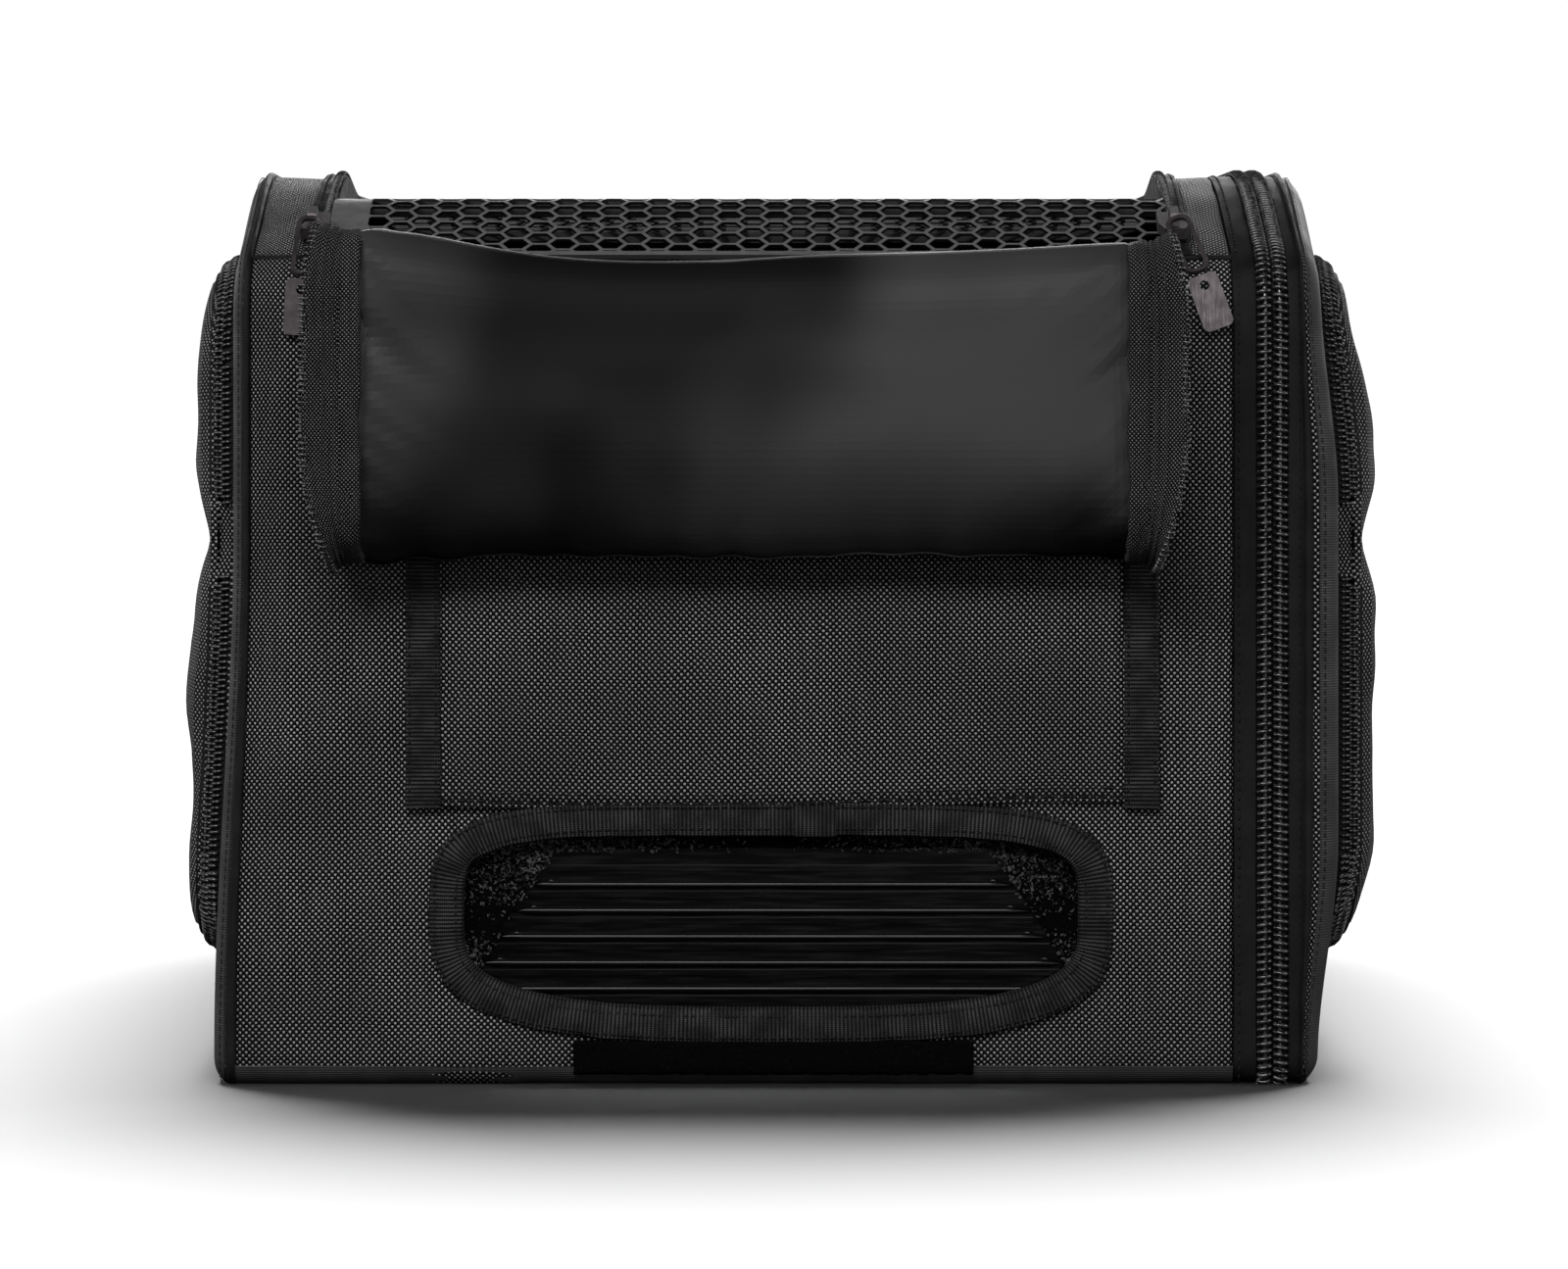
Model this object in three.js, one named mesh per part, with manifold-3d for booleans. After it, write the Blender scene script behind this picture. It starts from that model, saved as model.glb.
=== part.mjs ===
// Soft-sided pet carrier bag, in millimetres, +Z up, front towards -Y, +X to the right.
// The origin is on the ground, under the centre of the bag.
import * as THREE from 'three';
import { mergeVertices } from 'three/addons/utils/BufferGeometryUtils.js';
import Module from 'manifold-3d';

const wasm = await Module();
wasm.setup();

// ---------------------------------------------------------------- driving dimensions

const GAP = 0.3; // clearance kept between neighbouring pieces
const FAR = 1000; // larger than the bag, for clipping boxes

// The sewn tube: front, roof, back and floor follow one end outline.
const FRONT = -213;
const BACK = 227;
const LEFT = -170;
const RIGHT = 139;
const CROWN = 284;
const WALL = 5; // padded fabric wall
const FOOT_RADIUS = 8;
const SHOULDER = 238; // height where the front and back start to turn over
const SHOULDER_RADIUS = 22;
const SHOULDER_TURN = THREE.MathUtils.degToRad(68);
const SHOULDER_PULL = 40; // how far the roof keeps the slope of the shoulder
const CROWN_DEPTH = 112; // the roof is level from this far behind the front
const CROWN_PULL = 35;
const SEAM = 256; // height of the seam between front panel and roof

// The roof: two fabric bands, a mesh between them and a fabric rear part.
const BAND = 4;
const MESH_LEFT = -143;
const MESH_RIGHT = 121;
const MESH_SHEET = 1.5;
const RIDGE_DEPTH = 52;
const RIDGE = 275.8;
const ROOF_REAR = 120; // y where the mesh ends and the fabric roof begins
const TAPE = 5.4; // width of the roof cover's zipper tape beside the mesh
const TAPE_SHEET = 2;
const STAY_RADIUS = 2;

// The left side panel, and the big zipper that closes the right one.
const SIDE = 6;
const PIPING = 3.2;
const PIPING_WIDTH = 4;
const ZIP_MIDDLE = 151;
const ZIP_RIGHT = 161;
const ZIP_TAPE = 7; // visible width of the tape on the body side
const ZIP_HALF = 4.7; // width of half the coil
const ZIP_SHEET = 2.5;
const COIL_STAND = 2.2;
const DOOR = 10.2; // thickness of the padded door

// Zipped pocket covers, two on each side, sewn along the middle of the side.
const POCKET = { front: -188, back: 202, top: 251, middle: 168, bottom: 42, reach: 193.5 };
const POCKET_SPLIT = 10; // half the band between the two covers
const POCKET_CORNER = 34;
const POCKET_ROLL = 28; // width of the rounded rim
const POCKET_SHEET = 2.5;
const POCKET_CORE = 0.2; // flat middle of a cover before its rim rolls over
const POCKET_ZIP = 6;
const POCKET_ZIP_SHEET = 2.5;
const POCKET_PARK = 10; // the sliders stop this far from the sewn edge

// The front: oval window, ribbed plate, hook-and-loop and sleeve.
const WINDOW = { left: -99.5, right: 91.5, bottom: 23.5, top: 77.5, radius: 26.5 };
const BINDING = 10;
const BINDING_SHEET = 1.8;
const LOOP_SHEET = 1.7;
const LOOP_EDGE = 5; // how far the hook-and-loop band shows inside the window
const PLATE = { left: -100, right: 93, bottom: 20, shoulder: 34, top: 73.5, inset: 26, sheet: 2 };
const RIB = { pitch: 8.1, count: 6, height: 1.6, stand: 1.5, inset: 5, first: 7 };
const STRIP = { left: -65, right: 58.5, bottom: 8.3, top: 13.1, sheet: 1.5 };
const SLEEVE = { left: -107, right: 106, bottom: 88, top: 237, sheet: 1.4 };

// The rolled roof cover that hangs over the front.
const ROLL = { left: -132, right: 108, bottom: 163, top: 257, front: -251, back: -217 };
const ROLL_END = 15;
const ROLL_RADIUS = 16.5;
const ROLL_TAPE_INSET = 2;

// The floor's loose board and mat, and how far they stay from the walls.
const FLOOR = { board: 4, mat: 9, side: 4, front: 8, back: 4 };

// Zipper hardware: width, length and height of each size of slider.
const BIG_SLIDER = [14, 22, 8];
const ROOF_SLIDER = [10, 16, 7];
const POCKET_SLIDER = [8, 12, 5];
const BIG_SLIDER_HEIGHT = 46;
const WIRE = 1.4;

// The flat pulls: width, length and thickness.
const BIG_TAG = [10, 32, 1.6];
const ROOF_TAG = [9.6, 17.5, 1.2];
const POCKET_TAG = [5.4, 20, 1.2];

// Where the roof cover's sliders stop, and the wire loops that reach over the shoulder.
const PARK = { y: FRONT + 23, z: 262, raise: 3, slope: THREE.MathUtils.degToRad(20) };
const LINK = { width: 8, reach: 17.3, drop: 18.5, ahead: 9, above: 7 };
const LEFT_PULL = { shift: -1.5, tilt: THREE.MathUtils.degToRad(4) };
const RIGHT_PULL = { shift: -2, tilt: THREE.MathUtils.degToRad(-20) };

// Rear grab handle and side rings.
const HANDLE = { middle: -15, half: 62, foot: 15, flat: 22, bottom: 192, width: 26, bow: 23.7, sheet: 3.4 };
const RING = { width: 28, height: 20, wire: 3, top: 275, y: 7, stand: 3 };
const RING_TAB = { half: 9, below: 8, above: 5, sheet: 2.2 };

// ---------------------------------------------------------------- solids

const toSolid = (geometry) => {
  const bare = new THREE.BufferGeometry();
  bare.setAttribute('position', geometry.getAttribute('position').clone());
  bare.setIndex(geometry.getIndex());
  const merged = mergeVertices(bare, 1e-4);
  return new wasm.Manifold(
    new wasm.Mesh({
      numProp: 3,
      vertProperties: new Float32Array(merged.attributes.position.array),
      triVerts: new Uint32Array(merged.index.array),
    }),
  );
};

const toGeometry = (solid) => {
  const mesh = solid.getMesh();
  const geometry = new THREE.BufferGeometry();
  geometry.setAttribute('position', new THREE.BufferAttribute(mesh.vertProperties, 3));
  geometry.setIndex(new THREE.BufferAttribute(mesh.triVerts, 1));
  geometry.computeVertexNormals();
  return geometry;
};

const keep = (geometry, box) => toGeometry(toSolid(geometry).intersect(toSolid(box)));
const cut = (geometry, tool) => toGeometry(toSolid(geometry).subtract(toSolid(tool)));
const join = (...pieces) =>
  toGeometry(pieces.map(toSolid).reduce((whole, piece) => whole.add(piece)));

// A box given by its low and high x, y and z.
const block = (x0, x1, y0, y1, z0, z1) => {
  const geometry = new THREE.BoxGeometry(x1 - x0, y1 - y0, z1 - z0);
  return geometry.translate((x0 + x1) / 2, (y0 + y1) / 2, (z0 + z1) / 2);
};

const extrude = (shape, depth, options = {}) =>
  new THREE.ExtrudeGeometry(shape, { depth, bevelEnabled: false, curveSegments: 5, ...options });

// A shape drawn in y and z, extruded along x.
const AXES_YZX = new THREE.Matrix4().makeBasis(
  new THREE.Vector3(0, 1, 0),
  new THREE.Vector3(0, 0, 1),
  new THREE.Vector3(1, 0, 0),
);
const alongX = (shape, x0, x1, options) =>
  extrude(shape, x1 - x0, options).applyMatrix4(AXES_YZX).translate(x0, 0, 0);

// A shape drawn in x and z, extruded along y.
const alongY = (shape, y0, y1) => extrude(shape, y1 - y0).rotateX(Math.PI / 2).translate(0, y1, 0);

const roundRect = (left, right, bottom, top, radius) => {
  const shape = new THREE.Shape();
  shape.moveTo(left + radius, bottom);
  shape.absarc(right - radius, bottom + radius, radius, -Math.PI / 2, 0);
  shape.absarc(right - radius, top - radius, radius, 0, Math.PI / 2);
  shape.absarc(left + radius, top - radius, radius, Math.PI / 2, Math.PI);
  shape.absarc(left + radius, bottom + radius, radius, Math.PI, Math.PI * 1.5);
  return shape;
};

const polygon = (...corners) => new THREE.Shape(corners.map(([x, y]) => new THREE.Vector2(x, y)));

// ---------------------------------------------------------------- the end outline

// From the front foot, up the front, over the roof and down the back, in y and z.
const endPath = () => {
  const path = new THREE.Path();
  const front = FRONT + SHOULDER_RADIUS;
  const back = BACK - SHOULDER_RADIUS;
  const turned = Math.PI - SHOULDER_TURN;
  const reach = Math.cos(turned) * SHOULDER_RADIUS;
  const rise = Math.sin(turned) * SHOULDER_RADIUS + SHOULDER;
  const pullY = Math.sin(SHOULDER_TURN) * SHOULDER_PULL;
  const pullZ = Math.cos(SHOULDER_TURN) * SHOULDER_PULL;
  const crownFront = FRONT + CROWN_DEPTH;
  const crownBack = BACK - CROWN_DEPTH;
  path.moveTo(FRONT + FOOT_RADIUS, 0);
  path.absarc(FRONT + FOOT_RADIUS, FOOT_RADIUS, FOOT_RADIUS, -Math.PI / 2, -Math.PI, true);
  path.absarc(front, SHOULDER, SHOULDER_RADIUS, Math.PI, turned, true);
  path.bezierCurveTo(
    front + reach + pullY,
    rise + pullZ,
    crownFront - CROWN_PULL,
    CROWN,
    crownFront,
    CROWN,
  );
  path.lineTo(crownBack, CROWN);
  path.bezierCurveTo(
    crownBack + CROWN_PULL,
    CROWN,
    back - reach - pullY,
    rise + pullZ,
    back - reach,
    rise,
  );
  path.absarc(back, SHOULDER, SHOULDER_RADIUS, SHOULDER_TURN, 0, true);
  path.absarc(BACK - FOOT_RADIUS, FOOT_RADIUS, FOOT_RADIUS, 0, -Math.PI / 2, true);
  return path;
};

// The outline's corners, moved inwards by an inset.
const outline = (inset) => {
  const points = endPath()
    .getPoints(5)
    .filter((p, i, all) => i === 0 || p.distanceTo(all[i - 1]) > 0.01);
  const inwards = (a, b) => new THREE.Vector2(b.y - a.y, a.x - b.x).normalize();
  return points.map((p, i) => {
    const before = points[(i + points.length - 1) % points.length];
    const after = points[(i + 1) % points.length];
    const a = inwards(before, p);
    const b = inwards(p, after);
    const scale = inset / (1 + a.dot(b));
    return new THREE.Vector2(p.x + (a.x + b.x) * scale, p.y + (a.y + b.y) * scale);
  });
};

// The wall that follows the outline from foot to foot.
const hoop = (x0, x1, outer, inner) =>
  alongX(new THREE.Shape([...outline(outer), ...outline(inner).reverse()]), x0, x1);

// ---------------------------------------------------------------- scene graph

const finishes = {
  ballistic: { color: 0x1b1b1c, roughness: 0.82, metalness: 0 },
  smooth: { color: 0x141415, roughness: 0.7, metalness: 0 },
  satin: { color: 0x17181a, roughness: 0.42, metalness: 0 },
  grosgrain: { color: 0x151516, roughness: 0.78, metalness: 0 },
  mesh: { color: 0x4a4b4d, roughness: 0.6, metalness: 0 },
  loop: { color: 0x070707, roughness: 0.98, metalness: 0 },
  gloss: { color: 0x08090a, roughness: 0.22, metalness: 0 },
  coil: { color: 0x101011, roughness: 0.4, metalness: 0 },
  metal: { color: 0x74706f, roughness: 0.35, metalness: 0.9 },
  board: { color: 0x1a1a1a, roughness: 0.6, metalness: 0 },
};

const add = (parent, name, geometry, finish) => {
  const mesh = new THREE.Mesh(geometry, new THREE.MeshStandardMaterial(finishes[finish]));
  mesh.name = name;
  parent.add(mesh);
  return mesh;
};

const group = (parent, x = 0, y = 0, z = 0) => {
  const node = new THREE.Group();
  node.position.set(x, y, z);
  parent.add(node);
  return node;
};

const bag = new THREE.Group();
const door = group(bag);

// ---------------------------------------------------------------- front, back and floor

const windowShape = (grow) =>
  roundRect(
    WINDOW.left - grow,
    WINDOW.right + grow,
    WINDOW.bottom - grow,
    WINDOW.top + grow,
    WINDOW.radius + grow,
  );

const tube = hoop(LEFT, RIGHT, 0, WALL);
const frontWall = keep(tube, block(-FAR, FAR, -FAR, 0, -FAR, SEAM));
const windowHole = alongY(windowShape(0), FRONT - WALL, FRONT + 2 * WALL);
add(bag, 'front_panel', cut(frontWall, windowHole), 'ballistic');
add(bag, 'back_panel', keep(tube, block(-FAR, FAR, 0, FAR, -FAR, SEAM)), 'ballistic');

const floorFront = FRONT + FOOT_RADIUS + GAP;
const floorBack = BACK - FOOT_RADIUS - GAP;
add(bag, 'floor_panel', block(LEFT, ZIP_RIGHT, floorFront, floorBack, 0, WALL), 'ballistic');

const boardBottom = WALL + GAP;
const boardTop = boardBottom + FLOOR.board;
const matBottom = boardTop + GAP;
const matTop = matBottom + FLOOR.mat;
const layer = (bottom, top) =>
  block(
    LEFT + FLOOR.side,
    ZIP_RIGHT - FLOOR.side,
    floorFront + FLOOR.front,
    floorBack - FLOOR.back,
    bottom,
    top,
  );
add(bag, 'floor_board', layer(boardBottom, boardTop), 'board');
add(bag, 'floor_mat', layer(matBottom, matTop), 'smooth');

// ---------------------------------------------------------------- roof

const bandLeft = MESH_LEFT - 2 * GAP - TAPE;
const bandRight = MESH_RIGHT + 2 * GAP + TAPE;
const roofFront = block(-FAR, FAR, -FAR, ROOF_REAR, SEAM + GAP, FAR);
const roofBack = block(-FAR, FAR, ROOF_REAR + GAP, FAR, SEAM + GAP, FAR);
add(bag, 'roof_band_left', keep(hoop(LEFT, bandLeft, 0, BAND), roofFront), 'ballistic');
add(bag, 'roof_band_right', keep(hoop(bandRight, RIGHT, 0, BAND), roofFront), 'ballistic');
add(bag, 'roof_rear', keep(tube, roofBack), 'ballistic');
const tapeLeft = hoop(bandLeft + GAP, MESH_LEFT - GAP, 0, TAPE_SHEET);
const tapeRight = hoop(MESH_RIGHT + GAP, bandRight - GAP, 0, TAPE_SHEET);
add(bag, 'roof_tape_left', keep(tapeLeft, roofFront), 'smooth');
add(bag, 'roof_tape_right', keep(tapeRight, roofFront), 'smooth');

// The mesh rises from the front seam to a straight ridge and runs level from there.
const seamDrop = SEAM - SHOULDER;
const seamY = FRONT + SHOULDER_RADIUS - Math.sqrt(SHOULDER_RADIUS ** 2 - seamDrop ** 2);
const ridgeY = FRONT + RIDGE_DEPTH;
const meshSection = polygon(
  [seamY + 0.5, SEAM + GAP],
  [seamY + 0.5, SEAM + GAP + MESH_SHEET],
  [ridgeY, RIDGE],
  [ROOF_REAR - GAP, RIDGE],
  [ROOF_REAR - GAP, RIDGE - MESH_SHEET],
  [ridgeY, RIDGE - MESH_SHEET],
);
add(bag, 'roof_mesh', alongX(meshSection, MESH_LEFT, MESH_RIGHT), 'mesh');

const meshWidth = MESH_RIGHT - MESH_LEFT;
const stay = new THREE.CylinderGeometry(STAY_RADIUS, STAY_RADIUS, meshWidth, 12);
const stayMesh = add(bag, 'ridge_stay', stay.rotateZ(Math.PI / 2), 'board');
const stayHeight = RIDGE - MESH_SHEET - STAY_RADIUS - 2 * GAP;
stayMesh.position.set((MESH_LEFT + MESH_RIGHT) / 2, ridgeY, stayHeight);

// ---------------------------------------------------------------- sides

const leftWall = LEFT - GAP - SIDE;
const rightWall = ZIP_RIGHT + GAP + DOOR;
const endPlate = (inset, x0, x1) => alongX(new THREE.Shape(outline(inset)), x0, x1);
const pipingPlate = endPlate(0, LEFT - GAP - PIPING_WIDTH, LEFT - GAP);
add(bag, 'left_piping', cut(pipingPlate, endPlate(PIPING, LEFT - 2 * PIPING_WIDTH, LEFT)), 'smooth');
add(bag, 'left_side_panel', endPlate(PIPING + GAP, leftWall, LEFT - GAP), 'ballistic');
const doorEdge = ZIP_RIGHT + GAP;
add(door, 'right_side_panel', endPlate(PIPING + GAP, doorEdge, rightWall), 'ballistic');
add(door, 'right_piping', hoop(doorEdge, doorEdge + PIPING_WIDTH, 0, PIPING), 'smooth');

// ---------------------------------------------------------------- big zipper

const aboveGround = block(-FAR, FAR, -FAR, FAR, 0, FAR);
const coilLeft = ZIP_MIDDLE - ZIP_HALF;
const coilRight = ZIP_MIDDLE + ZIP_HALF;
const bigCoil = (x0, x1) => keep(hoop(x0, x1, -COIL_STAND, ZIP_SHEET), aboveGround);
add(bag, 'zip_tape_body', hoop(RIGHT + GAP, coilLeft - GAP, 0, ZIP_SHEET), 'smooth');
add(bag, 'zip_coil_body', bigCoil(coilLeft, ZIP_MIDDLE - GAP / 2), 'coil');
add(door, 'zip_coil_door', bigCoil(ZIP_MIDDLE + GAP / 2, coilRight), 'coil');
add(door, 'zip_tape_door', hoop(coilRight + GAP, ZIP_RIGHT, 0, ZIP_SHEET), 'smooth');

// ---------------------------------------------------------------- zipper hardware

// A slider with its base on z = 0, its bridge above and its narrow nose towards -y.
const slider = ([width, length, height]) => {
  const nose = width * 0.32;
  const base = polygon(
    [-nose, -length / 2],
    [nose, -length / 2],
    [width / 2, -length / 6],
    [width / 2, length / 2],
    [-width / 2, length / 2],
    [-width / 2, -length / 6],
  );
  const bridge = polygon(
    [-length * 0.36, height * 0.4],
    [length * 0.36, height * 0.4],
    [length * 0.22, height],
    [-length * 0.22, height],
  );
  return join(extrude(base, height * 0.5), alongX(bridge, -width * 0.14, width * 0.14));
};

// A flat pull tab with a hole near its top, hanging along -z from the origin.
const tag = ([width, length, sheet]) => {
  const shape = roundRect(-width / 2, width / 2, -length, 0, width * 0.2);
  const hole = new THREE.CylinderGeometry(width * 0.16, width * 0.16, 2 * sheet, 12);
  return cut(alongY(shape, -sheet / 2, sheet / 2), hole.translate(0, 0, -width * 0.35));
};

// A closed wire loop hanging along -z from the origin.
const wireLoop = (width, length) => {
  const outer = roundRect(-width / 2, width / 2, -length, 0, width * 0.45);
  const half = width / 2 - WIRE;
  const inner = roundRect(-half, half, WIRE - length, -WIRE, half * 0.8);
  return cut(alongY(outer, -WIRE / 2, WIRE / 2), alongY(inner, -WIRE, WIRE));
};

// A D-shaped ring hanging along -z from its straight bar, drawn in y and z.
const ring = () => {
  const { width, height, wire } = RING;
  const dShape = (half, top, bottom) => {
    const shape = new THREE.Shape();
    shape.moveTo(half, top);
    shape.absellipse(0, top, half, top - bottom, 0, -Math.PI, true);
    return shape;
  };
  const outer = dShape(width / 2, wire / 2, wire / 2 - height);
  const inner = dShape(width / 2 - wire, -wire / 2, wire * 1.5 - height);
  return cut(alongX(outer, -wire / 2, wire / 2), alongX(inner, -wire, wire));
};

// The big slider is parked low on the back with its nose up, and its pull hangs down.
const bigSlider = group(bag, ZIP_MIDDLE, BACK + COIL_STAND + GAP, BIG_SLIDER_HEIGHT);
add(bigSlider, 'zip_slider', slider(BIG_SLIDER).rotateX(-Math.PI / 2), 'metal');
const bigPull = add(bigSlider, 'zip_pull', tag(BIG_TAG), 'metal');
bigPull.position.set(0, BIG_SLIDER[2] + 2 * GAP + BIG_TAG[2] / 2, 2);

// The roof cover's two sliders are parked at the front ends of their tapes. Each pull is a
// wire loop that reaches forwards over the shoulder, with a tag hanging from it.
const roofPull = (sideName, x, tilt) => {
  const rider = add(bag, `${sideName}_cover_slider`, slider(ROOF_SLIDER), 'metal');
  rider.rotation.x = PARK.slope;
  rider.position.set(x, PARK.y, PARK.z);
  rider.translateZ(PARK.raise);
  const pivot = group(bag, x, PARK.y - LINK.ahead, PARK.z + LINK.above);
  pivot.rotation.y = tilt;
  const length = Math.hypot(LINK.reach, LINK.drop);
  const link = add(pivot, `${sideName}_cover_link`, wireLoop(LINK.width, length), 'metal');
  link.rotation.x = -Math.atan2(LINK.reach, LINK.drop);
  const pull = add(pivot, `${sideName}_cover_tag`, tag(ROOF_TAG), 'metal');
  pull.position.set(0, -LINK.reach, -LINK.drop - WIRE / 2 - GAP);
};
roofPull('left', (MESH_LEFT + bandLeft) / 2 + LEFT_PULL.shift, LEFT_PULL.tilt);
roofPull('right', (MESH_RIGHT + bandRight) / 2 + RIGHT_PULL.shift, RIGHT_PULL.tilt);

// ---------------------------------------------------------------- pockets, zippers and rings

// Everything on a side is drawn with x = 0 on the side's outer face and +x outwards. The
// left side is the same group turned half a turn about the upright middle line.
const sideMiddle = (POCKET.front + POCKET.back) / 2;
const CURVE = 0.5523; // handle length of a quarter circle drawn as a Bezier curve

// The outline of a cover: square where it is sewn, rounded at its free corners. `up` is 1
// for the upper cover and -1 for the lower one.
const coverShape = (up, grow, sewn) => {
  const half = (POCKET.back - POCKET.front) / 2 + grow;
  const hinge = POCKET.middle + up * (POCKET_SPLIT - sewn);
  const free = (up > 0 ? POCKET.top : POCKET.bottom) + up * grow;
  const r = POCKET_CORNER + grow;
  const k = r * (1 - CURVE);
  const shape = new THREE.Shape();
  shape.moveTo(-half, hinge);
  shape.lineTo(half, hinge);
  shape.lineTo(half, free - up * r);
  shape.bezierCurveTo(half, free - up * k, half - k, free, half - r, free);
  shape.lineTo(r - half, free);
  shape.bezierCurveTo(k - half, free, -half, free - up * k, -half, free - up * r);
  return shape;
};

// A domed shell, open towards the side panel.
const coverShell = (up, bulge) => {
  const dome = (inset) =>
    alongX(coverShape(up, -inset, -inset), 0, POCKET_CORE, {
      bevelEnabled: true,
      bevelThickness: bulge - POCKET_CORE - inset,
      bevelSize: POCKET_ROLL - inset,
      bevelOffset: inset - POCKET_ROLL,
      bevelSegments: 3,
    });
  return keep(cut(dome(0), dome(POCKET_SHEET)), block(0, FAR, -FAR, FAR, -FAR, FAR));
};

const pocketChain = (up) => {
  const outer = alongX(coverShape(up, POCKET_ZIP + GAP, 0), 0, POCKET_ZIP_SHEET);
  return cut(outer, alongX(coverShape(up, GAP, FAR / 10), -1, POCKET_ZIP_SHEET + 1));
};

const furnishSide = (parent, sideName, wall, turn) => {
  const bulge = POCKET.reach - Math.abs(wall) - GAP;
  const side = group(parent, wall, sideMiddle, 0);
  side.rotation.z = turn;
  const stand = group(side, GAP);
  for (const [level, up] of [['upper', 1], ['lower', -1]]) {
    const name = `${sideName}_${level}_pocket`;
    add(stand, `${name}_cover`, coverShell(up, bulge), 'ballistic');
    add(stand, `${name}_zip`, pocketChain(up), 'coil');
    // The slider is parked at the back end of the chain, clear of the cover's edge, and its
    // pull hangs down beside it.
    const clear = (POCKET.back - POCKET.front + POCKET_SLIDER[0]) / 2 + 2 * GAP;
    const park = POCKET.middle + up * (POCKET_SPLIT + POCKET_PARK);
    const rider = group(stand, POCKET_ZIP_SHEET + GAP, turn ? -clear : clear, park);
    const body = add(rider, `${name}_slider`, slider(POCKET_SLIDER), 'metal');
    body.rotation.set(0, Math.PI / 2, 0);
    body.rotateZ(up > 0 ? Math.PI / 2 : -Math.PI / 2);
    const pull = add(rider, `${name}_pull`, tag(POCKET_TAG), 'metal');
    pull.rotation.z = Math.PI / 2;
    pull.position.set(POCKET_SLIDER[2] + 2 * GAP + POCKET_TAG[2] / 2, 0, 1);
  }
  const ringY = (RING.y - sideMiddle) * (turn ? -1 : 1);
  const { half, below, above, sheet } = RING_TAB;
  const tab = block(0, sheet, ringY - half, ringY + half, RING.top - below, RING.top + above);
  add(stand, `${sideName}_ring_tab`, tab, 'grosgrain');
  const loop = add(stand, `${sideName}_d_ring`, ring(), 'metal');
  loop.position.set(RING.stand + RING.wire / 2, ringY, RING.top - RING.wire / 2);
};
furnishSide(bag, 'left', leftWall, Math.PI);
furnishSide(door, 'right', rightWall, 0);

// ---------------------------------------------------------------- front dressing

const face = FRONT - GAP; // what is sewn on the front starts here
const bindingFront = alongY(windowShape(BINDING), face - BINDING_SHEET, face);
const bindingHole = alongY(windowShape(0), face - 2 * BINDING_SHEET, face + 1);
add(bag, 'window_binding', cut(bindingFront, bindingHole), 'grosgrain');

const loopFront = FRONT + WALL + GAP;
const loopBack = loopFront + LOOP_SHEET;
const loopRing = cut(
  alongY(windowShape(LOOP_EDGE), loopFront, loopBack),
  alongY(windowShape(-LOOP_EDGE), loopFront - 1, loopBack + 1),
);
const windowMiddle = (WINDOW.bottom + WINDOW.top) / 2;
const upperHalf = block(-FAR, FAR, -FAR, FAR, windowMiddle, FAR);
add(bag, 'window_loop_band', keep(loopRing, upperHalf), 'loop');

// The plate behind the window narrows towards its top and carries level ribs.
const plateFront = loopBack + GAP + RIB.stand;
const plateShape = polygon(
  [PLATE.left, PLATE.bottom],
  [PLATE.right, PLATE.bottom],
  [PLATE.right, PLATE.shoulder],
  [PLATE.right - PLATE.inset, PLATE.top],
  [PLATE.left + PLATE.inset, PLATE.top],
  [PLATE.left, PLATE.shoulder],
);
const plateInset = (z) =>
  (PLATE.inset * Math.max(0, z - PLATE.shoulder)) / (PLATE.top - PLATE.shoulder) + RIB.inset;
const ribs = Array.from({ length: RIB.count }, (_, i) => {
  const z = PLATE.top - RIB.first - i * RIB.pitch;
  const inset = plateInset(z);
  const left = PLATE.left + inset;
  const right = PLATE.right - inset;
  return block(left, right, plateFront - RIB.stand, plateFront + 1, z - RIB.height / 2, z + RIB.height / 2);
});
const plate = alongY(plateShape, plateFront, plateFront + PLATE.sheet);
add(bag, 'ribbed_plate', join(plate, ...ribs), 'gloss');

const strip = block(STRIP.left, STRIP.right, face - STRIP.sheet, face, STRIP.bottom, STRIP.top);
add(bag, 'loop_strip', strip, 'loop');

const onFront = (x0, x1, sheet) => block(x0, x1, face - sheet, face, SLEEVE.bottom, SLEEVE.top);
add(bag, 'sleeve_panel', onFront(SLEEVE.left, SLEEVE.right, SLEEVE.sheet), 'ballistic');
const sleeveLeft = onFront(SLEEVE.left - BINDING, SLEEVE.left - GAP, BINDING_SHEET);
const sleeveRight = onFront(SLEEVE.right + GAP, SLEEVE.right + BINDING, BINDING_SHEET);
add(bag, 'sleeve_binding_left', sleeveLeft, 'grosgrain');
add(bag, 'sleeve_binding_right', sleeveRight, 'grosgrain');

// ---------------------------------------------------------------- rolled roof cover

const rollSection = (inset) =>
  roundRect(
    ROLL.front + inset,
    ROLL.back - inset,
    ROLL.bottom + inset,
    ROLL.top - inset,
    ROLL_RADIUS - inset,
  );
const roll = group(bag);
add(roll, 'cover_roll', alongX(rollSection(0), ROLL.left, ROLL.right), 'satin');
const rollTape = (x0, x1) => alongX(rollSection(ROLL_TAPE_INSET), x0, x1);
add(roll, 'cover_tape_left', rollTape(ROLL.left - ROLL_END, ROLL.left - GAP), 'smooth');
add(roll, 'cover_tape_right', rollTape(ROLL.right + GAP, ROLL.right + ROLL_END), 'smooth');

// ---------------------------------------------------------------- rear grab handle

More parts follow.
